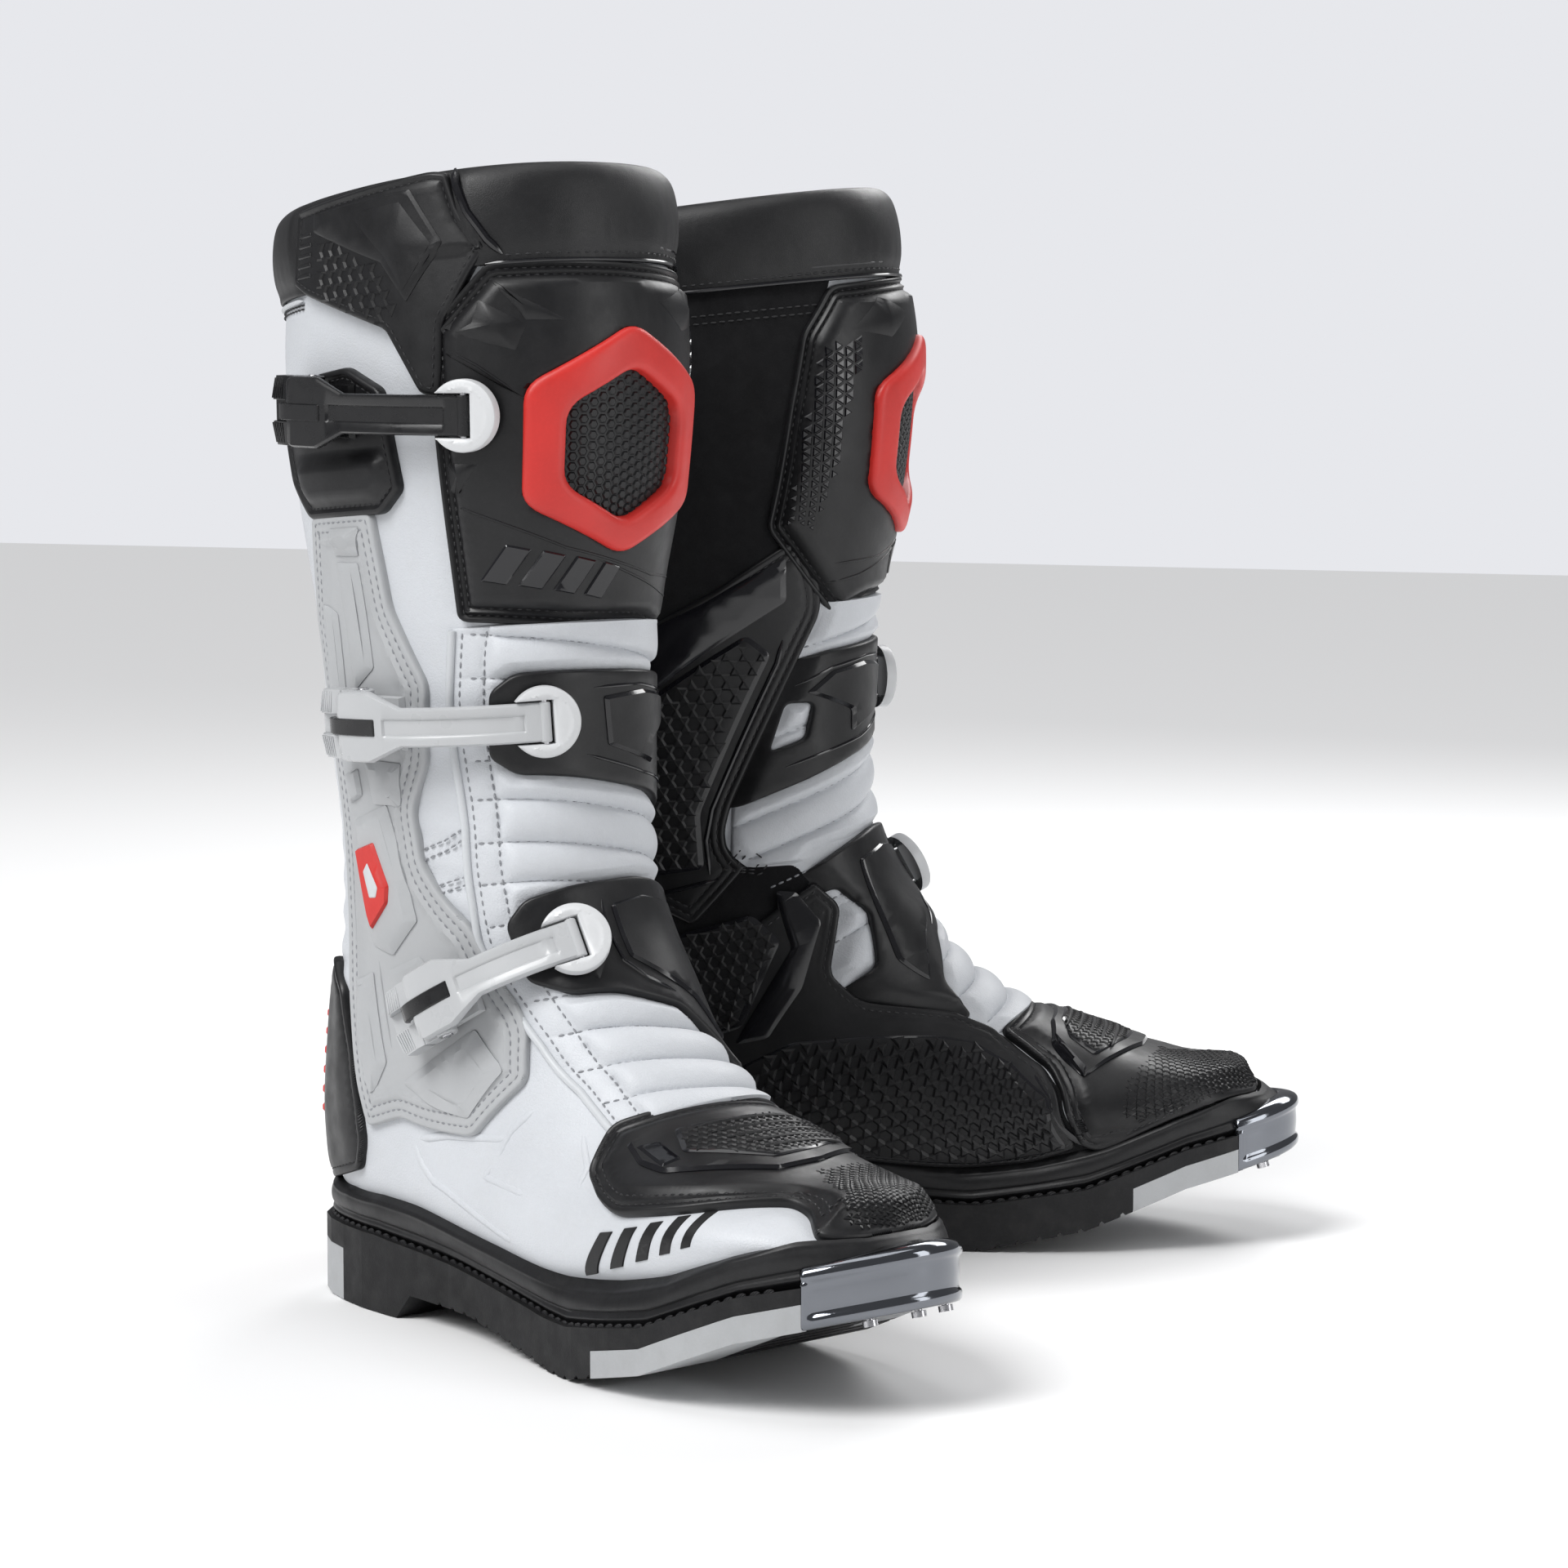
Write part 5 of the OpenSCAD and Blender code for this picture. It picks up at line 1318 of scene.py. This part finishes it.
def rand():
    """The rubber cup between the foot's covers and the welt, and the filler under it."""
    lateral = np.array(RAND_EDGE, float)
    medial = lateral[::-1] * [1, -1]
    edge = dense(np.vstack([[(8.62, 180)], lateral, [(15.80, 22), (15.82, 0), (15.80, -22)], medial,
                            [(8.62, -180)]]),
                 2.4, closed=False)[:-1]
    n = len(edge)
    top = on_skin(*edge.T)
    out = outwards(*edge.T)
    around = 1200
    outline = footprint(4.2, around)
    # Each point of the upper edge runs down to the nearest point of the welt, in order round the sole
    nearest = np.array([np.argmin(((outline - p[:2]) ** 2).sum(1)) for p in top])
    at = np.unwrap(nearest * 2 * math.pi / around)
    forward = np.median(np.sign(np.diff(at)))
    at = np.maximum.accumulate(at * forward)
    at = np.concatenate([at[-6:] - 2 * math.pi, at, at[:6] + 2 * math.pi])
    at = np.convolve(at, np.ones(13) / 13, "valid") * forward
    foot_line = resampled(np.tile(outline, (3, 1)), np.arange(-around, 2 * around),
                          at / (2 * math.pi) * around)
    low = np.column_stack([foot_line, welt(foot_line[:, 0]) + 0.6])
    ahead = unit(np.roll(low, -1, 0) - np.roll(low, 1, 0))
    away = unit(np.cross(ahead, [0, 0, 1.0]))
    away *= np.sign((away * (low - low.mean(0))).sum())
    rings = [top - 0.8 * out, top + 1.6 * out, top + 2.6 * out, top + 3.1 * out]
    fall = low - (top + 3.1 * out)
    for t in np.linspace(0.05, 1, 26):
        bead = 0.9 * math.exp(-((t - 0.86) / 0.07) ** 2) - 0.7 * math.exp(-((t - 0.70) / 0.05) ** 2)
        lip = 0.35 * math.exp(-((t - 0.1) / 0.05) ** 2)
        bulge = 2.2 * math.sin(math.pi * t ** 0.9) + bead + lip
        sag = np.array([0, 0, 0.6 * math.sin(math.pi * t)])
        rings.append(top + 3.1 * out + fall * t + away * bulge + sag)
    rings += [low - away * reach - [0, 0, 1.6] for reach in (1.0, 12.0)]
    shape = Shape()
    rings = np.array(rings)
    quads = grid_quads(len(rings) + 1, n, ring=True) % (len(rings) * n)
    points = rings.reshape(-1, 3)
    a, b, c, _ = points[quads[14 * n + n // 3]]
    shape.add(points, quads=quads[:, ::1 if np.cross(b - a, c - b) @ away[n // 3] > 0 else -1])
    outer, inner = footprint(5.2), footprint(9.0)
    hollow = lookup(inner[:, 0], [(0, 3), (60, 5), (200, 8), (250, 9), (300, 8)])
    n, start = len(outer), shape.count
    shape.add([np.column_stack([line, welt(line[:, 0]) + lift])
               for line, lift in ((outer, -1.5), (outer, 1.0), (inner, hollow))],
              quads=grid_quads(3, n, ring=True)[:, ::-1])
    fan(shape, start + 2 * n, n, flip=True)
    fan(shape, start, n)
    make("rand", shape, [RAND], "foot", ["midsole"], sharp=60)


PLATE_PROFILE = [(16, 1.8), (16, -0.2), (2.2, -0.2), (0.9, 0.3), (0.15, 1.3), (0, 2.4), (0, 3.4), (0.35, 4.2),
                 (1.0, 4.8),
                 (1.15, 5.6), (0.95, 8), (0.85, 10), (0.95, 12.5), (1.15, 14.6), (1.0, 15.4), (0.4, 16.0),
                 (0.05, 16.8),
                 (0.1, 18.0), (0.6, 19.3), (1.6, 20.2), (3.2, 20.8), (7.5, 21.4), (8.5, 20.5), (8.5, 1.8)]


def toe_plate():
    """The polished plate round the toe, with a sunken face inside a raised rim."""
    outline = footprint(0, 2400)
    outline = np.roll(
        outline, -int(np.argmax(np.linalg.norm(outline - [100, 0], axis=1) * (outline[:, 0] < 100))), axis=0)
    outline = outline[outline[:, 0] > 287.5]
    gap = int(np.argmax(np.linalg.norm(np.diff(outline, axis=0), axis=1)))
    if np.linalg.norm(outline[gap + 1] - outline[gap]) > 5:
        outline = np.roll(outline, -gap - 1, axis=0)
    along = travel(outline)
    at = np.linspace(0, along[-1], 110)
    line = resampled(outline, along, at)
    ahead = unit(np.gradient(line, axis=0))
    inwards = np.stack([-ahead[:, 1], ahead[:, 0]], -1)
    inwards *= np.sign(((np.array([250.0, 0]) - line) * inwards).sum())
    end = np.minimum(at, along[-1] - at)
    face = step_up(end, 2.6, 4.4)
    rounding = quarter(end / 1.2)
    rings = []
    for inset_by, z in PLATE_PROFILE:
        deep = inset_by * (face if 4.0 < z < 15.5 and inset_by < 2 else 1) + (1 - rounding) * 1.2
        xy = line + inwards * deep[:, None]
        rings.append(np.column_stack([xy, lookup(line[:, 0], GROUND) + z]))
    shape = Shape()
    swept(shape, np.array(rings).transpose(1, 0, 2))
    make("toe_plate_shell", shape, [CHROME_PAINTED_DARK_REFLECTION], "foot", ["toe_plate"], sharp=50)


def welt_seam():
    """Stitches along the welt."""
    shape = Shape()
    outline = footprint(2.7, 900)
    p = np.column_stack([outline, welt(outline[:, 0]) + 0.15])
    p = p[p[:, 0] < 284]
    p = np.roll(p, -int(np.argmax(np.linalg.norm(np.diff(p, axis=0), axis=1))) - 1, axis=0)
    along = travel(p)
    at = np.arange(3, along[-1] - 3, 5.0)
    q, ahead = (resampled(p, along, at + shift) for shift in (0, 1))
    stitch_at(shape, q, unit(ahead - q), np.tile([0.0, 0.0, 1.0], (len(q), 1)), 4.0, 0.75, 0, 0, -0.2)
    make("welt_thread", shape, [BLACK_THREAD], "foot")


# ---------------------------------------------------------------- buckles
BUCKLES = {"top": [(1.53, 48, 11.4), (1.482, 72, 12.6), (1.42, 95, 15.6)],
           "mid": [(4.33, 26, 9), (4.245, 56, 11), (4.08, 85, 15.4)],
           "low": [(7.28, 24, 9.4), (7.34, 46, 10.8), (7.46, 67, 15.2)]}
STRAP_W, STRAP_T, HEAD_W, PIN_DROP = 14.0, 3.2, 25.0, 6.6


class Buckle:
    """The circle that a strap runs on. at() takes a radius offset, an angle in degrees and a z."""

    def __init__(self, key):
        a, b, c = (skin(*(np.array([v]) for v in point))[0] for point in BUCKLES[key])
        p, q = a - c, b - c
        n = np.cross(p, q)
        self.centre = c + np.cross(p @ p * q - q @ q * p, n) / (2 * n @ n)
        self.r = np.linalg.norm(a - self.centre)
        self.pin = math.degrees(2 * math.asin(np.linalg.norm(c - a) / 2 / self.r))
        self.x = unit(a - self.centre)
        self.z = unit(np.cross(b - a, c - a))
        self.y = np.cross(self.z, self.x)

    def degrees(self, length):
        return math.degrees(length / self.r)

    def at(self, lift, angle, z):
        lift, angle, z = np.broadcast_arrays(lift, np.radians(angle), z)
        out = np.cos(angle)[..., None] * self.x + np.sin(angle)[..., None] * self.y
        return self.centre + (self.r + lift)[..., None] * out + np.asarray(z, float)[..., None] * self.z

    def hub_frame(self, points):
        points = np.asarray(points, float)
        return (self.centre + (self.r + points[..., :1]) * self.x + points[..., 1:2] * self.y
                + points[..., 2:] * self.z)

    def pin_frame(self, points):
        """Points with x outwards from the pin, y to the back and z along it."""
        points = np.asarray(points, float)
        t = math.radians(self.pin)
        out = math.cos(t) * self.x + math.sin(t) * self.y
        back = -math.sin(t) * self.x + math.cos(t) * self.y
        return (self.centre + (self.r - PIN_DROP + points[..., :1]) * out + points[..., 1:2] * back
                + points[..., 2:] * self.z)


def swept(shape, rings, mat=0):
    """A solid through closed rings of equally many points."""
    rings = np.asarray(rings)
    rows, cols = rings.shape[:2]
    quads = grid_quads(rows, cols, ring=True)
    points = rings.reshape(-1, 3)
    quad = points[quads[len(quads) // 2]]
    middle = rings.mean(1)[rows // 2]
    flip = np.cross(quad[1] - quad[0], quad[2] - quad[0]) @ (quad.mean(0) - middle) < 0
    start = shape.count
    shape.add(points, quads=quads[:, ::-1] if flip else quads, mat=mat)
    fan(shape, start, cols, flip=not flip, mat=mat)
    fan(shape, start + (rows - 1) * cols, cols, flip=flip, mat=mat)


def block(shape, frame_fn, corners, mat=0):
    """A box given by its four corners at each end."""
    swept(shape, [frame_fn(np.array(end, float)) for end in corners], mat)


def round_bar(shape, frame_fn, radius, z0, z1, at=(0, 0), mat=0, count=40, bevel=0.4):
    t = np.linspace(0, 2 * math.pi, count, endpoint=False)
    rings = []
    for r, z in ((radius - bevel, z0), (radius, z0 + bevel), (radius, z1 - bevel), (radius - bevel, z1)):
        rings.append(frame_fn(np.column_stack([at[0] + r * np.cos(t), at[1] + r * np.sin(t),
                                               np.full(count, z)])))
    swept(shape, rings, mat)


def strap(buckle, key):
    shape = Shape()
    pin, deg = buckle.pin, buckle.degrees
    marks = np.unique(np.concatenate([np.linspace(-deg(1.5), pin + deg(6), 46), [
        deg(6.5), deg(7.2), pin - deg(16.6), pin - deg(15.8), pin - deg(23), pin - deg(10)]]))
    rings = []
    for t in marks:
        back = (t - pin) / deg(1)
        wide = np.interp(back, [-23, -10, 3, 6], [STRAP_W / 2, HEAD_W / 2, HEAD_W / 2, HEAD_W / 2 - 1.8])
        thick = STRAP_T / 2 + 0.6 * np.clip((back + 20) / 8, 0, 1) * np.clip((6.6 - back) / 1.2, 0.1, 1)
        in_groove = deg(7.0) < t < pin - deg(16.2)
        dip = 0.85 if in_groove else 0.0
        if key != "top" and deg(8.6) < t < deg(11.2):
            dip = 0.25
        end = 0.35 if t in (marks[0], marks[-1]) else 0.0
        profile = [(-wide, -0.4), (-wide + 0.25, thick - 0.7), (-wide + 0.9, thick), (-3.5, thick),
                   (-2.9, thick - dip * 0.5),
                   (-2.6, thick - dip), (0, thick - dip), (2.6, thick - dip), (2.9, thick - dip * 0.5),
                   (3.5, thick),
                   (wide - 0.9, thick), (wide - 0.25, thick - 0.7), (wide, -0.4),
                   (wide - 0.3, -STRAP_T / 2 + 0.3),
                   (wide - 0.8, -STRAP_T / 2), (0, -STRAP_T / 2), (-wide + 0.8, -STRAP_T / 2),
                   (-wide + 0.3, -STRAP_T / 2 + 0.3)]
        z, lift = np.array(profile).T
        rings.append(buckle.at(lift * (1 - end), t, z * (1 - end * 0.1)))
    swept(shape, rings)
    # The dark insert that lies in the head and curls over its end
    insert = []
    for back, lift, thick in ((-13, 1.9, 0.6), (-12.6, 2.45, 0.5), (-6, 2.5, 0.6), (0, 2.5, 0.6),
                              (5, 2.45, 0.6), (8, 2.0, 0.6),
                              (10.5, 0.9, 0.7), (12, -0.8, 0.7)):
        wide = 3.0 if back < 11 else 2.6
        turn = pin + deg(back)
        profile = np.array([(-wide, 0), (-wide + 0.4, thick), (wide - 0.4, thick), (wide, 0), (wide, -1.4),
                            (-wide, -1.4)])
        insert.append(buckle.at(lift + profile[:, 1] - 0.2, turn, profile[:, 0]))
    swept(shape, insert, 1)
    round_bar(shape, buckle.hub_frame, 2.2, -STRAP_W / 2, STRAP_W / 2, mat=0)
    return shape


def hub(shape, buckle):
    """Adds a round anchor: a domed disc with a slot for the strap's end, and its rivet."""
    half_slot, radius = STRAP_W / 2 + 0.6, 12.5
    start = math.asin(half_slot / radius)
    t = np.linspace(start, 2 * math.pi - start, 60)
    rim = np.column_stack([radius * np.cos(t), radius * np.sin(t)])
    # First coordinate towards the back of the boot, second along the rivet
    notch = [(-3.0, -half_slot), (-3.0, half_slot)]
    side_low = [(k, -half_slot) for k in np.linspace(rim[-1, 0] - 1.5, -1.5, 6)]
    side_high = [(k, half_slot) for k in np.linspace(-1.5, rim[0, 0] - 1.5, 6)]
    outline = np.array(list(rim) + side_low + notch + side_high)
    n = len(outline)
    rings = []
    for lift, shrink, dome in ((-2.3, 0.0, 0), (1.2, 0.0, 0), (1.9, 0.25, 0), (2.15, 0.7, 1)):
        p = outline.copy()
        d = unit(np.roll(p, -1, 0) - np.roll(p, 1, 0))
        p = p + shrink * np.stack([-d[:, 1], d[:, 0]], -1)
        rings.append(np.column_stack([np.full(n, lift), p]))
    base = shape.count
    shape.add(buckle.hub_frame(np.vstack(rings)), quads=grid_quads(4, n, ring=True))
    # Cap with a slight dome and a plain raised ring
    top2d = rings[-1][:, 1:]
    cand = []
    for r in (1.5, 3.5, 5.5, 7.5, 9.0, 9.4, 10.0, 10.4, 11.2):
        a = np.linspace(0, 2 * math.pi, max(6, int(r * 4)), endpoint=False)
        cand.append(r * np.column_stack([np.cos(a), np.sin(a)]))
    cand = np.vstack(cand)
    cand = cand[(np.abs(cand[:, 1]) >= half_slot + 0.9) | (cand[:, 0] <= -3.9)]
    pts, tris = constrained(np.vstack([top2d, cand]), np.transpose(loop(n)))
    tris = tris[contains(pts[tris].mean(1), [top2d])]
    r = np.hypot(*pts.T)
    lift = 2.15 + 0.7 * (1 - (r / radius) ** 2) + np.where((r > 9.2) & (r < 10.2), 0.28, 0)
    lift[:n] = 2.15
    cap = buckle.hub_frame(np.column_stack([lift, pts]))
    a, b, c = cap[tris[0]]
    flip = -1 if np.cross(b - a, c - a) @ buckle.x < 0 else 1
    remap = np.concatenate([base + 3 * n + np.arange(n), shape.count + np.arange(len(pts) - n)])
    shape.add(cap[n:])
    shape.cover(remap[tris][:, ::flip])
    round_bar(shape, buckle.hub_frame, 1.1, -half_slot - 0.5, half_slot + 0.5, mat=1, bevel=0.1, count=20)


def lever(buckle):
    shape = Shape()
    f = buckle.pin_frame
    for side in (-1, 1):
        z = np.array([9.0, 12.2]) * side
        round_bar(shape, f, 3.9, min(z), max(z), mat=0)
        round_bar(shape, f, 2.0, *( (12.0, 12.75) if side > 0 else (-12.75, -12.0)), mat=1, bevel=0.25,
                  count=28)
        lo, hi = min(z), max(z)
        block(shape, f, [[(-2.8, 0, lo), (2.8, 0, lo), (2.8, 0, hi), (-2.8, 0, hi)],
                         [(-2.8, 9.5, lo), (3.4, 9.5, lo), (3.4, 9.5, hi), (-2.8, 9.5, hi)]])
        z_in, z_out, z_tip = 3.8 * side, 12.2 * side, 9.0 * side
        block(shape, f, [[(-3, 8.2, z_in), (4.4, 8.2, z_in), (3.6, 8.2, z_out), (-3, 8.2, z_out)],
                         [(-3, 12.0, z_in), (5.0, 12.0, z_in), (4.0, 12.0, z_out), (-3, 12.0, z_out)],
                         [(-3, 18.5, z_in), (4.2, 18.5, z_in), (2.6, 18.5, z_out), (-3, 18.5, z_out)],
                         [(-3, 22.0, z_in), (1.0, 22.0, z_in), (0.2, 22.0, z_tip), (-3, 22.0, z_tip)]])
        for k in range(7):
            y = 12.4 + 1.25 * k
            x_in = np.interp(y, [12.0, 18.5, 22.0], [5.0, 4.2, 1.0])
            x_out = np.interp(y, [12.0, 18.5, 22.0], [4.0, 2.6, 0.2])
            tip = np.interp(y, [18.5, 22.0], [12.0, 9.0])
            block(shape, f, [[(x_in - 0.4, y, (z_in + 0.5 * side)), (x_in + 0.32, y, (z_in + 0.5 * side)),
                              (x_in + 0.32, y + 0.55, (z_in + 0.5 * side)),
                              (x_in - 0.4, y + 0.55, (z_in + 0.5 * side))],
                             [(x_out - 0.4, y, side * (tip - 0.5)), (x_out + 0.32, y, side * (tip - 0.5)),
                              (x_out + 0.32, y + 0.55, side * (tip - 0.5)),
                              (x_out - 0.4, y + 0.55, side * (tip - 0.5))]])
    block(shape, f, [[(-3, 8.2, -3.8), (1.0, 8.2, -3.8), (1.0, 8.2, 3.8), (-3, 8.2, 3.8)],
                     [(-3, 21.6, -3.8), (0.6, 21.6, -3.8), (0.6, 21.6, 3.8), (-3, 21.6, 3.8)]])
    round_bar(shape, f, 2.0, -9.5, 9.5, mat=1, count=24)
    return shape


def lug(shape, buckle, drop, mat=0):
    """The post between the lever's ears, on its foot plate."""
    f = buckle.pin_frame
    round_bar(shape, f, 3.6, -8.0, 8.0, mat=mat, bevel=0.3)
    block(shape, f, [[(-drop, -3.6, -8), (0, -3.6, -8), (0, 3.6, -8), (-drop, 3.6, -8)],
                     [(-drop, -3.6, 8), (0, -3.6, 8), (0, 3.6, 8), (-drop, 3.6, 8)]], mat)
    block(shape, f, [[(-drop - 0.6, -15, -9.5), (-drop + 1.6, -14, -9), (-drop + 1.6, 7, -9),
                      (-drop - 0.6, 8, -9.5)],
                     [(-drop - 0.6, -15, 9.5), (-drop + 1.6, -14, 9), (-drop + 1.6, 7, 9),
                      (-drop - 0.6, 8, 9.5)]], mat)


TOP_PAD = [(1.14, 88), (1.19, 123), (1.5, 125), (1.90, 122), (2.20, 111), (2.20, 77), (2.02, 70), (1.32, 75)]


def softened(pieces, width, segments=2):
    for piece in pieces:
        bevel = piece.modifiers.new("soft_edges", "BEVEL")
        bevel.width = width * MM
        bevel.segments = segments
        bevel.limit_method = "ANGLE"
        bevel.angle_limit = math.radians(40)
        bevel.harden_normals = False


def buckles():
    frames = {key: Buckle(key) for key in BUCKLES}
    for key, buckle in frames.items():
        plastic = BLACK_PLASTIC if key == "top" else GREY_PLASTIC
        slot = "black_plastic" if key == "top" else "grey_plastic"
        make(f"strap_{key}_band", strap(buckle, key), [plastic, BLACK_PLASTIC], f"strap_{key}",
             [f"strap_{key}"])
        softened(make(f"lever_{key}_clasp", lever(buckle), [plastic, STEEL], f"lever_{key}",
                      [f"lever_{key}"]), 0.45)
    for name, body, slot, keys in (("leg_anchors", "leg", "leg_strap_hubs", ("top", "mid")),
                                   ("foot_anchor", "foot", "foot_strap_hub", ("low",))):
        discs = Shape()
        for key in keys:
            hub(discs, frames[key])
        make(name, discs, [WHITE_PLASTIC, STEEL], body, [slot])

    def top(sa, d, p):
        h = 1.0 + 2.2 * quarter(d / 1.4) - 1.1 * step_up(d, 2.2, 3.4)
        pocket = (np.clip((sa[:, 0] - 1.72) / 0.1, 0, 1) * step_up(d, 4.5, 8)
                  * np.clip((118 - sa[:, 1]) / 6, 0, 1))
        return h + 2.6 * pocket

    pad, surface, line = plate(TOP_PAD, top, 3, 1.8, (0.4, 0.9, 1.5, 2.2, 2.8, 3.4, 4.2), low=-0.5)
    sewn(pad, line, [3.8], surface, 1, thick=0.36, pitch=3.0, length=2.3)
    lug(pad, frames["top"], 5.6, 2)
    lug(pad, frames["mid"], 5.4, 3)
    make("leg_buckle_seats", pad, [PLATE, BLACK_THREAD, BLACK_PLASTIC, GREY_PLASTIC], "leg",
         ["leg_buckle_bases"])
    seat = Shape()
    lug(seat, frames["low"], 5.4)
    make("foot_buckle_seat", seat, [GREY_PLASTIC], "foot", ["foot_buckle_base"])


# ---------------------------------------------------------------- CAD nodes that stay
def cad_finishes():
    looks = {"outsole": SOLE, "sole_inserts": SOLE_GREY, "toe_screws": STEEL, "shank": STEEL,
             "insole": INSOLE}
    widths = {"outsole": 0.5, "sole_inserts": 0.4, "toe_screws": 0.3}
    for side in SIDES:
        for key, look in looks.items():
            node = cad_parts[f"{side}_{key}"]
            node.data.materials.clear()
            node.data.materials.append(look)
            if key in widths:
                softened([node], widths[key], 3)


leather()
quilt()
collar()
shin_plate()
calf_plate()
mid_plate()
instep_plate()
brace()
outer_foot()
heel_counter()
suede_sheet()
burn_guard()
inner_foot()
toe_guard()
rand()
toe_plate()
welt_seam()
buckles()
cad_finishes()


# ---------------------------------------------------------------- floor, light and camera
def plain(name, color, rough):
    mat = bpy.data.materials.new(name)
    mat.use_nodes = True
    shader = mat.node_tree.nodes["Principled BSDF"]
    shader.inputs["Base Color"].default_value = (*color, 1)
    shader.inputs["Roughness"].default_value = rough
    return mat


def studio():
    mesh = bpy.data.meshes.new("floor")
    size = 6.0
    mesh.from_pydata([(-size, -size, 0), (size, -size, 0), (size, size, 0), (-size, size, 0)], [],
                     [(0, 1, 2, 3)])
    mesh.materials.append(plain("pale_floor", (0.93, 0.93, 0.93), 0.7))
    floor = bpy.data.objects.new("floor", mesh)
    floor.location.z = -0.0005
    bpy.context.scene.collection.objects.link(floor)

    world = bpy.data.worlds.new("studio")
    bpy.context.scene.world = world
    world.use_nodes = True
    nodes, links = world.node_tree.nodes, world.node_tree.links
    background = nodes["Background"]
    background.inputs["Color"].default_value = (0.95, 0.96, 1.0, 1)
    # The camera sees a pale wall; the boots are lit by a dimmer room
    strength = nodes.new("ShaderNodeMapRange")
    strength.inputs["To Min"].default_value = 0.22
    strength.inputs["To Max"].default_value = 0.84
    links.new(nodes.new("ShaderNodeLightPath").outputs["Is Camera Ray"], strength.inputs["Value"])
    links.new(strength.outputs["Result"], background.inputs["Strength"])

    azimuth, elevation, distance = math.radians(-62.43), math.radians(5.39), 1.850
    target = Vector((0.274, 0.13334, 0.1576))
    back = Vector((math.sin(azimuth) * math.cos(elevation), -math.cos(azimuth) * math.cos(elevation),
                   math.sin(elevation)))
    camera = bpy.data.cameras.new("camera")
    camera.sensor_width = 36
    camera.lens = 5082.8 / 1920 * 36
    camera.clip_start, camera.clip_end = 0.05, 50
    viewer = bpy.data.objects.new("camera", camera)
    viewer.location = target + back * distance
    viewer.rotation_euler = (-back).to_track_quat("-Z", "Y").to_euler()
    bpy.context.scene.collection.objects.link(viewer)
    bpy.context.scene.camera = viewer
    bpy.context.scene.view_settings.view_transform = "Standard"

    right = Vector((math.cos(azimuth), math.sin(azimuth), 0))
    middle = Vector((0, 0.03, 0.2))
    for name, spot, width, height, watts in (
            ("key", middle + back * 1.2 - right * 1.5 + Vector((0, 0, 1.1)), 0.9, 0.9, 13),
            ("fill", middle + back * 1.0 + right * 1.6 + Vector((0, 0, 0.5)), 0.5, 1.6, 9),
            ("rim", middle - back * 1.3 + right * 0.8 + Vector((0, 0, 1.2)), 1.4, 0.5, 16),
            ("top", middle + Vector((0, 0, 1.7)), 1.0, 1.0, 6)):
        light = bpy.data.lights.new(name, "AREA")
        light.shape = "RECTANGLE"
        light.size, light.size_y = width, height
        light.energy = watts
        lamp = bpy.data.objects.new(name, light)
        lamp.location = spot
        lamp.rotation_euler = (middle - spot).to_track_quat("-Z", "Y").to_euler()
        bpy.context.scene.collection.objects.link(lamp)
    sun = bpy.data.lights.new("sun", "SUN")
    sun.energy, sun.angle = 2.1, math.radians(28)
    lamp = bpy.data.objects.new("sun", sun)
    shining = -(back * 0.9 - right * 0.9 + Vector((0, 0, 1.5)))
    lamp.rotation_euler = shining.to_track_quat("-Z", "Y").to_euler()
    bpy.context.scene.collection.objects.link(lamp)


studio()
